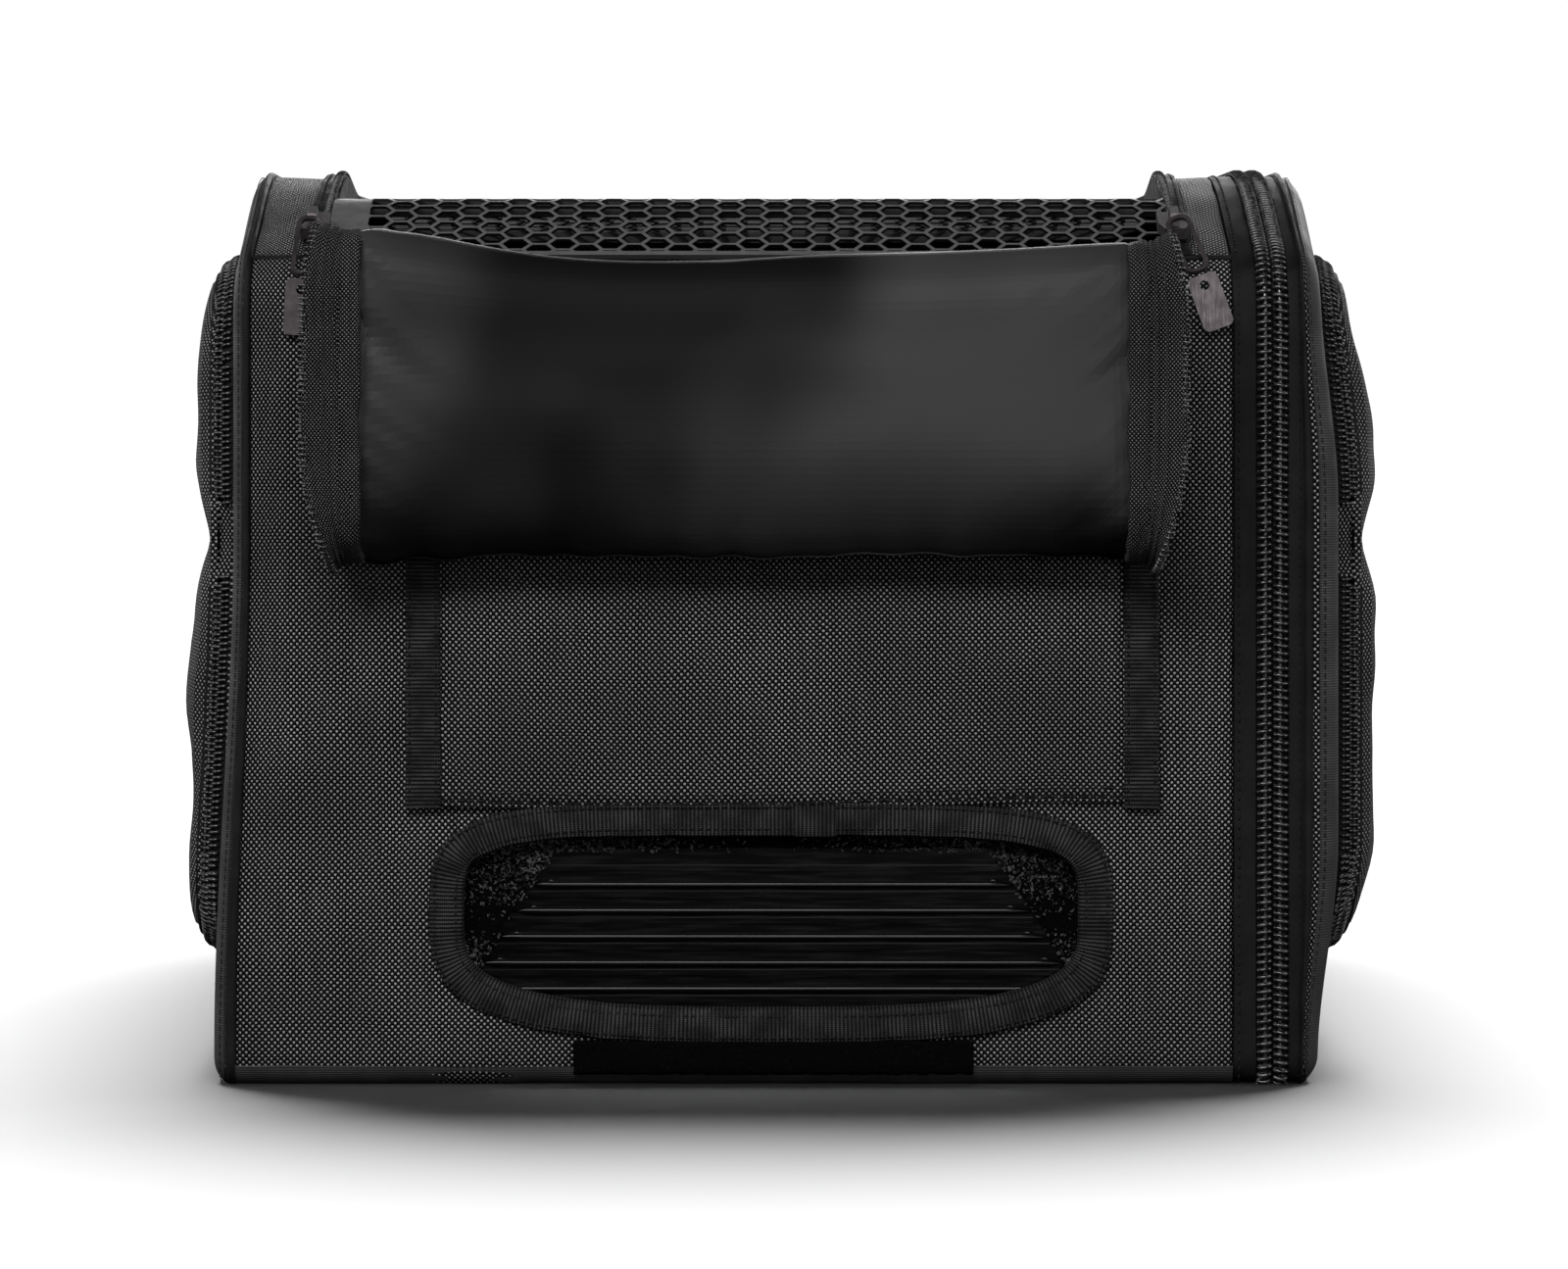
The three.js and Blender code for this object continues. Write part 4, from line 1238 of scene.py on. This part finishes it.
def main_zipper():
    """The big zipper: two tapes and two interlocked rows of coil, split at the middle."""
    middle = (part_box("zip_coil_body")[1].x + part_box("zip_coil_door")[0].x) / 2
    for node, body in (("zip_tape_body", "bag"), ("zip_tape_door", "door")):
        lo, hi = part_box(node)
        tape = hoop_strip(
            f"{node}_cloth", lo.x - 0.2 * MM, hi.x + 0.2 * MM, 0.3 * MM, 2.2 * MM,
            start=0, end=HOOP.length, divisions=5, radius=0.5 * MM,
        )
        soften(tape, 0.35 * MM, 16 * MM, 4.0)
        settle(tape, body, "smooth_tape", node)
        x = lo.x + 1.5 * MM if body == "bag" else hi.x - 1.2 * MM
        hoop_stitches(f"{node}_stitch", x, 0.4 * MM, 2 * MM, HOOP.length - 2 * MM, body)
    chain = outline_line(middle)
    halves = (("zip_coil_body", "bag", 1, 0.0), ("zip_coil_door", "door", -1, MAIN_PITCH / 2))
    for node, body, way, offset in halves:
        lo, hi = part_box(node)
        bed = hoop_strip(f"{node}_bed", lo.x, hi.x, -0.5 * MM, 2.5 * MM, 0, HOOP.length, radius=0.4 * MM)
        settle(bed, body, "smooth_tape")
        at = np.arange(1.5 * MM + offset, HOOP.length - 1.5 * MM, MAIN_PITCH)
        row = teeth(f"{node}_teeth", chain, at, X_AXIS, -2.5 * MM * way, 1.0 * MM, MAIN_LOOP, body, way)
        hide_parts(node)
        core = round_profile(0.62 * MM, 8, middle - 2.3 * MM * way, 0.9 * MM)
        cord = sweep(f"{node}_core", HOOP, X_AXIS, core, HOOP.spaced(4 * MM, 1 * MM, HOOP.length - 1 * MM))
        settle(cord, body, "zip_coil")


# ---------------------------------------------------------------- pockets

COVER_RADIUS = 34 * MM
# The pocket zippers lean: from the wall they rise outwards and in over the pocket's edge.
SLOPE_LOW = np.array((0.3, 7.0)) * MM
SLOPE_HIGH = np.array((9.7, 0.8)) * MM
SLOPE_WAY = (SLOPE_HIGH - SLOPE_LOW) / np.linalg.norm(SLOPE_HIGH - SLOPE_LOW)


def ways(side, level):
    """Which way a pocket faces in x, and which way its cover runs in z."""
    return (1 if side == "right" else -1), (1 if level == "upper" else -1)


def pocket_line(side, level, wall_x):
    """A cover's free outline, from one sewn end round to the other, seen as anticlockwise
    from outside so that the outward normal points away from the pocket."""
    way, up = ways(side, level)
    lo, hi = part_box(f"{side}_{level}_pocket_cover")
    seam, free = (lo.z, hi.z) if up > 0 else (hi.z, lo.z)
    y0, y1, z = lo.y + COVER_RADIUS, hi.y - COVER_RADIUS, free - up * COVER_RADIUS
    turns = np.linspace(0, math.pi / 2, 12)[1:]
    bends = [(COVER_RADIUS * math.sin(a), COVER_RADIUS * math.cos(a)) for a in turns]
    points = [(lo.y, height) for height in np.linspace(seam, z, 14)]
    points += [(y0 - c, z + up * s) for s, c in bends]
    points += [(y, free) for y in np.linspace(y0, y1, 24)[1:]]
    points += [(y1 + s, z + up * c) for s, c in bends]
    points += [(hi.y, height) for height in np.linspace(z, seam, 14)[1:]]
    points = [(wall_x, y, height) for y, height in points]
    return Line(points if way * up > 0 else points[::-1])


def slope(t, lift=0.0):
    """A place on the leaning zipper: t along its width and lift above it."""
    normal = np.array((-SLOPE_WAY[1], SLOPE_WAY[0]))
    return SLOPE_LOW + (SLOPE_HIGH - SLOPE_LOW) * t + normal * lift


def slope_profile(t0, t1, low, high):
    spread = (t0, (t0 + t1) / 2, t1)
    return [slope(t, low) for t in spread] + [slope(t, high) for t in reversed(spread)]


def cover_grid(side, level, wall_x, sewn, tall, columns, rows):
    """The crowned sheet of a pocket cover, row by row from its sewn edge."""
    way, up = ways(side, level)
    lo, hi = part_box(f"{side}_{level}_pocket_cover")
    half, middle = (hi.y - lo.y) / 2, (hi.y + lo.y) / 2
    seed = 17.0 if side == "left" else 31.0
    grid = np.zeros((rows + 1, columns + 1, 3))
    for j in range(rows + 1):
        depth = tall * j / rows
        z = sewn + up * depth
        corner = max(0.0, depth - (tall - COVER_RADIUS))
        reach = half - COVER_RADIUS + math.sqrt(max(0.0, COVER_RADIUS**2 - corner**2))
        rise = math.sin(min(1.0, depth / (26 * MM)) * math.pi / 2)
        top = (17.2 - 3.6 * (depth / tall) ** 1.6) * MM
        for i in range(columns + 1):
            u = 2 * i / columns - 1
            y = middle + u * reach
            aside = abs(y - middle)
            if corner > 0 and aside > half - COVER_RADIUS:
                rim = COVER_RADIUS - math.hypot(aside - (half - COVER_RADIUS), corner)
            else:
                rim = min(half - aside, tall - depth)
            q = min(1.0, max(0.0, rim) / (36 * MM))
            crown = math.sqrt(1 - (1 - q) ** 2)
            seam_height = (9.8 + 2.4 * (1 - abs(u) ** 4)) * MM
            ripple = noise.noise(Vector((y * 22, z * 30, seed + up))) * 2.2 * MM
            ripple += noise.noise(Vector((y * 9, z * 60, seed - up))) * 1.2 * MM
            height = seam_height + (top - seam_height + ripple) * crown * rise
            grid[j, i] = (wall_x + way * height, y, z)
    return grid


def distances(grid, axis):
    """How far each point lies from the first one of its row or column, along the sheet."""
    steps = np.linalg.norm(np.diff(grid, axis=axis), axis=2)
    return np.insert(np.cumsum(steps, axis=axis), 0, 0.0, axis=axis)


def pocket_cover(side, level, wall_x):
    """A soft cover: a crowned sheet that rises from its seam, with a skirt down to its zipper."""
    way, up = ways(side, level)
    lo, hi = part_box(f"{side}_{level}_pocket_cover")
    seam, free = (lo.z, hi.z) if up > 0 else (hi.z, lo.z)
    sewn = seam - up * 10 * MM
    columns, rows = 96, 34
    grid = cover_grid(side, level, wall_x, sewn, abs(free - sewn), columns, rows)
    points = grid.reshape(-1, 3).tolist()
    across = distances(grid, 1)
    across -= across[:, columns // 2][:, None]
    upward = distances(grid, 0)
    cloth = np.stack([across, upward, np.zeros_like(across)], axis=2).reshape(-1, 3).tolist()
    faces = grid_faces(rows + 1, columns + 1)
    border = [(j, 0) for j in range(rows + 1)] + [(rows, i) for i in range(1, columns + 1)]
    border += [(j, columns) for j in range(rows - 1, -1, -1)]
    rim_points = np.array([grid[j, i] for j, i in border])
    tangent = np.gradient(rim_points[:, 1:], axis=0)
    tangent /= np.maximum(np.linalg.norm(tangent, axis=1, keepdims=True), 1e-9)
    outward = np.stack([-tangent[:, 1] * up, tangent[:, 0] * up], axis=1)
    previous = [j * (columns + 1) + i for j, i in border]
    step = 2.4 * MM
    for height, out in ((SLOPE_HIGH[0] - 0.2 * MM, 1.2 * MM), (SLOPE_HIGH[0] - 2.6 * MM, 3.2 * MM)):
        start = len(points)
        for k, source in enumerate(previous):
            y, z = rim_points[k, 1:] + outward[k] * out
            points.append([wall_x + way * height, y, z])
            u, v, _ = cloth[source]
            cloth.append([u + outward[k][0] * step, v + up * outward[k][1] * step, 0.0])
        faces += [(previous[k], previous[k + 1], start + k + 1, start + k) for k in range(len(border) - 1)]
        previous = list(range(start, start + len(border)))
    cover = outwards(solid_object(f"{side}_{level}_pocket", points, faces, cloth))
    if cover.data.polygons[len(cover.data.polygons) // 2].normal.x * way < 0:
        cover.data.flip_normals()
    thicken(cover, 1.2 * MM, -1.0)
    settle(cover, None, "ballistic_fabric", f"{side}_{level}_pocket_cover")
    middle = (hi.y + lo.y) / 2
    start = (wall_x, middle, sewn + up * 2 * MM)
    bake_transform(cover)


def pocket_zipper(side, level, wall_x, parent):
    """The leaning zipper round a cover. One half stays on the bag, the other on the cover."""
    node, cover_body = f"{side}_{level}_pocket_zip", f"{side}_{level}_cover"
    line = pocket_line(side, level, wall_x)
    across = (float(ways(side, level)[0]), 0.0, 0.0)
    sheet = (-0.35 * MM, 0.3 * MM)
    tape = sweep(f"{node}_tape", line, across, slope_profile(0.0, 0.5, *sheet), line.spaced(3 * MM))
    settle(tape, parent, "smooth_tape", node)
    clear = line.spaced(3 * MM, 4 * MM, line.length - 4 * MM)
    tape = sweep(f"{node}_cover_tape", line, across, slope_profile(0.53, 1.0, *sheet), clear)
    settle(tape, cover_body, "smooth_tape")
    for name, t, body, turn, offset in (
        ("teeth", 0.37, parent, 1, 1.5 * MM),
        ("cover_teeth", 0.63, cover_body, -1, 4.35 * MM),
    ):
        at = np.arange(offset, line.length - offset, POCKET_PITCH)
        shift, lift = slope(t, 0.85 * MM)
        teeth(f"{node}_{name}", line, at, across, shift, lift, POCKET_LOOP, body, turn, SLOPE_WAY)
    for name, t, body in (("stitch", 0.16, parent), ("cover_stitch", 0.86, cover_body)):
        row = line.beside(across, *slope(t, 0.15 * MM))
        stitches(f"{node}_{name}", row, across, body, "zip_coil", STITCH, thread=MEDIUM)


def pocket_middle(side, wall_x, parent, way):
    """The sewn band between the two covers: gussets at both ends and a bound seam."""
    upper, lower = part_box(f"{side}_upper_pocket_cover"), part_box(f"{side}_lower_pocket_cover")
    low, high = lower[1].z - 1.5 * MM, upper[0].z + 1.5 * MM
    across = (float(way), 0.0, 0.0)
    nip = 1 - 0.22 * np.sin(np.linspace(0, math.pi, 12))
    waist = np.stack([nip, nip], axis=1)
    ends = []
    for k, (y, up) in enumerate(((upper[0].y, way), (upper[1].y, -way))):
        line = Line([(wall_x, y, z) for z in np.linspace(low, high, 12)[::up]])
        at = np.linspace(0, high - low, 12)
        profile = slope_profile(0.0, 0.98, -0.4 * MM, 0.5 * MM)
        ends.append(sweep(f"{side}_gusset_{k}", line, across, profile, at, waist))
    settle(joined(f"{side}_pocket_gussets", ends), parent, "ballistic_fabric")
    half, middle = (upper[1].y - upper[0].y) / 2, (upper[1].y + upper[0].y) / 2
    seam = []
    for u in np.linspace(-0.99, 0.99, 60):
        height = (8.2 + 3.4 * (1 - abs(u) ** 4)) * MM
        seam.append((wall_x + way * height, middle + u * half, (low + high) / 2))
    seam = Line(seam)
    ribbon = sweep(f"{side}_pocket_seam", seam, Z_AXIS, round_profile(1.4 * MM, 10), seam.spaced(5 * MM))
    settle(ribbon, parent, "smooth_tape")


def pockets():
    for side, parent, way in SIDES:
        lo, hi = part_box(f"{side}_side_panel")
        wall_x = lo.x if way < 0 else hi.x
        for level in ("upper", "lower"):
            pocket_cover(side, level, wall_x)
            pocket_zipper(side, level, wall_x, parent)
        pocket_middle(side, wall_x, parent, way)


# ---------------------------------------------------------------- rolled roof cover

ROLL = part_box("cover_roll")
ROLL_Y, ROLL_Z = ((ROLL[0][axis] + ROLL[1][axis]) / 2 for axis in (1, 2))
ROLL_TURNS = 3.2
# Stitch rows as shares of the tape's width, and where the tape ends on the outline.
ROLL_STITCHES = (0.33, 0.55)
TAPE_END = 0.60


def roll_section(count=72, shrink=0.0, inset=0.0):
    """The roll's outline in y and z from its top middle, forwards, down and back."""
    lo, hi = ROLL
    radius = (hi.y - lo.y) / 2 - inset
    y = ROLL_Y
    top, bottom = hi.z - radius - inset, lo.z + radius + inset
    quarter = count // 4
    straight = np.linspace(top, bottom, quarter)[1:-1]
    points = arc((y, top), radius, math.pi / 2, math.pi, quarter)
    points += [(y - radius, z) for z in straight]
    points += arc((y, bottom), radius, math.pi, 1.5 * math.pi, quarter)
    points += arc((y, bottom), radius, 1.5 * math.pi, 2 * math.pi, quarter)[1:]
    points += [(y + radius, z) for z in reversed(straight)]
    points += arc((y, top), radius, 0, math.pi / 2, quarter)[:-1]
    return [(y + (py - y) * (1 - shrink), z) for py, z in points]


def roll_lift(x, z):
    """How far the roll's top stands above its middle near each end."""
    lo, hi = ROLL
    top = min(1.0, max(0.0, (z - (hi.z - 40 * MM)) / (40 * MM)))
    left = math.exp(-((x - lo.x) / (40 * MM)) ** 2) * 8.0 * MM
    right = math.exp(-((hi.x - x) / (55 * MM)) ** 2) * 4.0 * MM
    return (left + right) * top**1.5


PUFF_FRAMES = 20


def puff(piece, voxel, pressure, cap, pinned):
    """Swells a closed piece with a short cloth simulation; pinned says which points hold."""
    remesh = piece.modifiers.new("even", "REMESH")
    remesh.mode, remesh.voxel_size = "VOXEL", voxel
    apply_modifiers(piece)
    rest = np.array([v.co for v in piece.data.vertices])
    held = piece.vertex_groups.new(name="held")
    held.add([i for i, p in enumerate(rest) if pinned(p)], 1.0, "REPLACE")
    cloth = piece.modifiers.new("cloth", "CLOTH").settings
    cloth.quality = 6
    cloth.use_pressure = True
    cloth.uniform_pressure_force = pressure
    cloth.tension_stiffness = cloth.compression_stiffness = 12
    cloth.bending_stiffness = 0.4
    cloth.vertex_group_mass = "held"
    cloth.effector_weights.gravity = 0.0
    for step in range(PUFF_FRAMES):
        bpy.context.scene.frame_set(step + 1)
    apply_modifiers(piece)
    bpy.context.scene.frame_set(1)
    move = np.array([v.co for v in piece.data.vertices]) - rest
    far = np.linalg.norm(move, axis=1, keepdims=True)
    now = rest + move * np.minimum(1.0, cap / np.maximum(far, 1e-9))
    piece.data.vertices.foreach_set("co", now.ravel())
    piece.data.update()


def roll_folds(vertex):
    """Gathers at the roll's ends, pleats along its foot, a crease near its top, broad waves."""
    lo, hi = ROLL
    x, y, z = vertex.co
    in_front = y < ROLL_Y
    inside = min(x - lo.x, hi.x - x)
    fade = (9 + 10 * noise.noise(Vector((x * 2, 5.0, z * 70)))) * MM
    ends = math.exp(-inside / fade)
    turned = z + 0.7 * inside
    gather = noise.noise(Vector((x * 25, y * 60, turned * 105))) * 2.3 * MM * ends
    gather += noise.noise(Vector((x * 50, y * 120, turned * 230))) * 0.8 * MM * ends
    crease = 0.0
    if in_front:
        crease = math.exp(-(((z - (hi.z - 25 * MM)) / (9 * MM)) ** 2))
        crease *= -0.7 * MM * min(1.0, max(0.0, (hi.x - x) / (60 * MM)))
    low = max(0.0, 1 - (z - lo.z) / (38 * MM))
    pleat = noise.noise(Vector((x * 85, 4.0, z * 14))) * 1.9 * MM * low
    broad = noise.noise(Vector((x * 10, 2.0, z * 24))) * 3.4 * MM
    under = max(0.0, 1 - (z - lo.z) / (50 * MM)) ** 2 * 8 * MM if in_front else 0.0
    return vertex.normal * (gather + crease + pleat + broad) + Vector((0, under, roll_lift(x, z)))


def cover_roll():
    """The roof cover rolled up with its satin lining outside, gathered at both ends."""
    lo, hi = ROLL
    section = roll_section(shrink=0.14)
    xs = np.linspace(lo.x + 1 * MM, hi.x - 1 * MM, 61)
    rings = [(xs[0], 0.05), (xs[0], 0.55)] + [(x, 1.0) for x in xs] + [(xs[-1], 0.55), (xs[-1], 0.05)]
    points = [
        (x, ROLL_Y + (y - ROLL_Y) * k, ROLL_Z + (z - ROLL_Z) * k) for x, k in rings for y, z in section
    ]
    roll = tube("cover_lining", points, len(section))
    puff(roll, 5 * MM, 4.0, 4 * MM, lambda p: p[0] < lo.x + 7 * MM or p[0] > hi.x - 7 * MM)
    smooth = roll.modifiers.new("smooth", "SUBSURF")
    smooth.levels = smooth.render_levels = 1
    apply_modifiers(roll)
    move_points(roll, roll_folds)
    settle(roll, "roof_cover", "satin_lining", "cover_roll", crease=0)


def rolled_layers(side, x, section):
    """The spiral of cloth layers that shows at one end of the roll."""
    spiral = []
    for turn in np.linspace(0, ROLL_TURNS, 220):
        k = 0.14 + 0.46 * turn / ROLL_TURNS
        y, z = section[int(turn * len(section) % len(section))]
        spiral.append((x, ROLL_Y + (y - ROLL_Y) * k, ROLL_Z + (z - ROLL_Z) * (k * 0.55 + 0.36)))
    line = Line(without_repeats(spiral))
    profile = flat_profile(-4 * MM, 4 * MM, -0.6 * MM, 0.6 * MM, 0.4 * MM)
    layers = sweep(f"cover_layers_{side}", line, X_AXIS, profile, line.spaced(4 * MM))
    settle(layers, "roof_cover", "satin_lining")


def cover_ends():
    """Zipper tape, coil and binding round both ends of the roll, and the rolled layers."""
    lo, hi = ROLL
    body = "roof_cover"
    section = roll_section(96, inset=0.6 * MM)
    outline = Line([(0.0, y, z) for y, z in section])
    places = outline.at(outline.spaced(3 * MM, 4 * MM, outline.length * TAPE_END))
    low = np.clip((places[:, 2] - lo.z) / (36 * MM), 0, 1)
    top = np.clip((hi.z + 4 * MM - places[:, 2]) / (26 * MM), 0, 1)
    narrow = (0.38 + 0.62 * np.sin(low * math.pi / 2)) * (0.62 + 0.38 * np.sin(top * math.pi / 2))
    for side, inner, way in (("left", lo.x, -1), ("right", hi.x, 1)):
        node = f"cover_tape_{side}"
        tape_lo, tape_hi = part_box(node)
        width = tape_hi.x - tape_lo.x

        def fall(a):
            """How far the tape lies below its inner edge; each stitch row pulls it in."""
            grooves = sum(math.exp(-(((a / width - share) / 0.035) ** 2)) for share in ROLL_STITCHES)
            return -5.0 * MM * (a / width) ** 2 - 0.6 * MM * grooves

        bent = [(inner, y, z + roll_lift(inner, z)) for _, y, z in places]
        line = Line(bent[::way])
        at = line.along
        widths = np.stack([narrow, np.ones_like(narrow)], axis=1)[::way]
        across = (float(way), 0.0, 0.0)
        steps = np.linspace(-2 * MM, width - 1.0 * MM, 34)
        over = [(a, fall(a) + 0.6 * MM) for a in steps]
        under = [(a, fall(a) - 0.6 * MM) for a in reversed(steps)]
        tape = sweep(f"cover_zip_tape_{side}", line, across, over + under, at, widths)
        soften(tape, 0.7 * MM, 8 * MM, 7.0)
        settle(tape, body, "smooth_tape", node, look=WOVEN_TAPE)
        rib = flat_profile(-3.6 * MM, 3.2 * MM, -1.2 * MM, 2.4 * MM, 1.4 * MM, 5)
        binding = sweep(f"cover_binding_{side}", line, across, rib, at)
        soften(binding, 0.9 * MM, 5 * MM, 9.0)
        settle(binding, body, "smooth_tape", look=WOVEN_TAPE)
        spots = np.arange(2 * MM, line.length - 2 * MM, COVER_PITCH)
        edge = (width - 1.2 * MM) * np.interp(spots, at, widths[:, 0])[:, None]
        lift = fall(width - 1.0 * MM) + 0.5 * MM
        teeth(f"cover_teeth_{side}", line, spots, across, edge, lift, COVER_LOOP, body)
        for k, share in enumerate(ROLL_STITCHES):
            reach = width * share
            row = line.beside(across, reach * widths[:, :1], fall(reach) + 0.95 * MM)
            stitches(f"cover_stitch_{side}_{k}", row, across, body, "smooth_tape", STITCH)
        rolled_layers(side, inner - way * 2 * MM, section)


# ---------------------------------------------------------------- handle, rings and metal


def handle():
    """The webbing grab handle on the back, with boxed and crossed stitching."""
    lo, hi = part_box("back_handle")
    middle, half = (lo.x + hi.x) / 2, (hi.x - lo.x) / 2
    z, width = (lo.z + hi.z) / 2, (hi.z - lo.z) / 2
    sheet, bow = 3.2 * MM, hi.y - lo.y - 3.4 * MM
    foot, flat = half - 15 * MM, 22 * MM
    bend = (foot + flat) / 2
    right = [(half, 0.0), (foot, 0.0)] + bezier((foot, 0), (bend, 0), (bend, bow), (flat, bow), 16)[1:]
    shape = right + [(-x, y) for x, y in reversed(right)]
    line = Line(without_repeats([(middle + x, lo.y + 1.7 * MM + y, z) for x, y in shape]))
    profile = flat_profile(-width, width, -sheet / 2, sheet / 2, 1.2 * MM, 8)
    strap = sweep("grab_strap", line, Z_AXIS, profile, line.spaced(2.5 * MM))
    soften(strap, 0.5 * MM, 12 * MM, 3.0)
    settle(strap, "bag", "grosgrain", "back_handle")
    y = lo.y + 3.6 * MM
    for side, _, way in SIDES:
        x0, x1 = middle + way * (foot + 1.5 * MM), middle + way * (half - 2 * MM)
        z0, z1 = z - width + 2.5 * MM, z + width - 2.5 * MM
        corners = [(x0, z0), (x1, z0), (x1, z1), (x0, z1), (x0, z0), (x1, z1), (x1, z0), (x0, z1)]
        for k, ((ax, az), (bx, bz)) in enumerate(zip(corners, corners[1:])):
            row = Line([(ax, y, az), (bx, y, bz)])
            ahead = np.array((bx - ax, 0, bz - az))
            across = np.cross(ahead / np.linalg.norm(ahead), Y_AXIS)
            stitches(f"handle_stitch_{side}_{k}", row, across, "bag", "grosgrain", SHORT_STITCH)


def ring_tabs():
    """Folded webbing that holds each side ring, bar-tacked above and below."""
    for side, body, way in SIDES:
        node = f"{side}_ring_tab"
        lo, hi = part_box(node)
        wall_x = lo.x if way > 0 else hi.x
        bar_x, bar_z = 4.5 * MM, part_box(f"{side}_d_ring")[1].z - 1.5 * MM
        path = [(0.7 * MM, lo.z - 2 * MM), (1.1 * MM, bar_z - 5 * MM), (2.5 * MM, bar_z - 3 * MM)]
        for a in np.linspace(-0.35 * math.pi, 0.35 * math.pi, 7):
            path.append((bar_x + 2.4 * MM * math.cos(a), bar_z + 2.6 * MM * math.sin(a)))
        path += [(2.2 * MM, bar_z + 3.6 * MM), (0.8 * MM, hi.z + 1 * MM)]
        line = Line([(wall_x + way * x, (lo.y + hi.y) / 2, z) for x, z in path])
        profile = flat_profile(-8.6 * MM, 8.6 * MM, -0.6 * MM, 0.6 * MM, 0.5 * MM, 6)
        strap = sweep(f"{side}_ring_strap", line, (0, float(-way), 0), profile, line.spaced(1.0 * MM))
        settle(strap, body, "grosgrain", node)
        for k, z in enumerate((lo.z - 0.5 * MM, hi.z - 0.4 * MM)):
            row = Line([(wall_x + way * 1.5 * MM, y, z) for y in (lo.y, hi.y)[::-way]])
            stitches(f"{side}_ring_tack_{k}", row, Z_AXIS, body, "grosgrain", TACK)


def hardware():
    """The metal parts keep their shape, with soft edges and brushed gunmetal."""
    for name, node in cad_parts.items():
        if name.endswith(("_slider", "_pull", "_tag", "_link", "_d_ring")):
            round_edges(node, "gunmetal", 0.35 * MM, 35)
            node.data.shade_smooth()
            node.data.set_sharp_from_angle(angle=math.radians(60))


# ---------------------------------------------------------------- scene


def placed(name, data, location=(0, 0, 0), rotation=(0, 0, 0)):
    made = bpy.data.objects.new(name, data)
    made.location, made.rotation_euler = location, rotation
    bpy.context.scene.collection.objects.link(made)
    return made


def camera():
    """A level camera in front of the bag; the shift puts the bag low in the frame."""
    data = bpy.data.cameras.new("camera")
    data.lens, data.sensor_width, data.shift_y = 129.9, 36.0, -0.1866
    data.clip_start, data.clip_end = 0.05, 60
    bpy.context.scene.camera = placed("camera", data, (0.0, FRONT - 1.75, 0.230), (math.pi / 2, 0, 0))


def area_light(name, place, aim, size, power, apart_from):
    """A soft box; it leaves out the collection that it is kept apart from."""
    data = bpy.data.lights.new(name, "AREA")
    data.shape, data.size, data.size_y = "RECTANGLE", *size
    data.energy = power
    turn = (Vector(aim) - Vector(place)).to_track_quat("-Z", "Y").to_euler()
    placed(name, data, place, turn).light_linking.receiver_collection = apart_from


def surround():
    """White behind the bag near the horizon, dim elsewhere."""
    world = bpy.data.worlds.new("studio")
    world.use_nodes = True
    s = Nodes(world.node_tree)
    apart = s.apart(s.node("ShaderNodeTexCoord").outputs["Generated"])
    ahead = s.remap(apart["Y"], 0.1, 0.6, 0.17, 1.06)
    below_top = s.remap(apart["Z"], 0.12, 0.45, 1.0, 0.12)
    above_foot = s.remap(apart["Z"], -0.06, -0.01)
    strength = s.math("MULTIPLY", s.math("MULTIPLY", ahead, below_top), above_foot)
    sockets = world.node_tree.nodes["Background"].inputs
    s.feed(sockets["Strength"], strength)
    s.feed(sockets["Color"], (1.0, 1.0, 1.0))
    bpy.context.scene.world = world
    bpy.context.scene.view_settings.view_transform = "Standard"


def studio():
    """A plain white floor under a soft overhead light, and soft boxes that model the bag."""
    surround()
    size = 60.0
    corners = [(-size, -size, 0), (size, -size, 0), (size, size, 0), (-size, size, 0)]
    floor = solid_object("floor", corners, [(0, 1, 2, 3)])
    s = Shader("floor", 0.9, 0.1)
    white = s.mix(s.noise(3.0, 2.0), (0.93, 0.93, 0.93), (0.95, 0.95, 0.95))
    floor.data.materials.append(s.finish(white, None))
    floor.visible_diffuse = floor.visible_glossy = False
    above = bpy.data.lights.new("above", "SUN")
    above.energy, above.angle = 4.2, math.radians(46)
    sun = placed("above", above, rotation=(math.radians(-28.5), math.radians(3), 0))
    only_floor, not_floor = (bpy.data.collections.new(name) for name in ("only_floor", "not_floor"))
    only_floor.objects.link(floor)
    sun.light_linking.receiver_collection = only_floor
    not_floor.objects.link(floor)
    not_floor.collection_objects[0].light_linking.link_state = "EXCLUDE"
    for name, place, aim, box, power in (
        ("key", (-0.5, -1.9, 1.5), (0, -0.2, 0.15), (1.6, 0.7), 42),
        ("fill", (0.4, -2.6, 0.35), (0, -0.2, 0.15), (1.2, 0.5), 7),
        ("right", (1.6, -0.7, 0.6), (0.15, 0, 0.15), (0.6, 1.0), 9),
        ("left", (-1.7, -0.5, 0.6), (-0.15, 0, 0.15), (0.6, 1.0), 7),
        ("back", (0.3, 2.2, 1.0), (0, 0.2, 0.15), (1.6, 0.7), 26),
    ):
        area_light(name, place, aim, box, power, not_floor)


wall("front_shell", 0.0, SEAM_FRONT, "front_panel", hole=3 * MM)
wall("back_shell", SEAM_BACK + 0.3 * MM, HOOP.length, "back_panel")
window_binding()
loop_band()
ribbed_plate()
pile_strip()
front_hem()
sleeve()
floor_parts()
roof_mesh()
roof_flange()
roof_edges()
sides()
main_zipper()
pockets()
cover_roll()
cover_ends()
handle()
ring_tabs()
hardware()
camera()
studio()
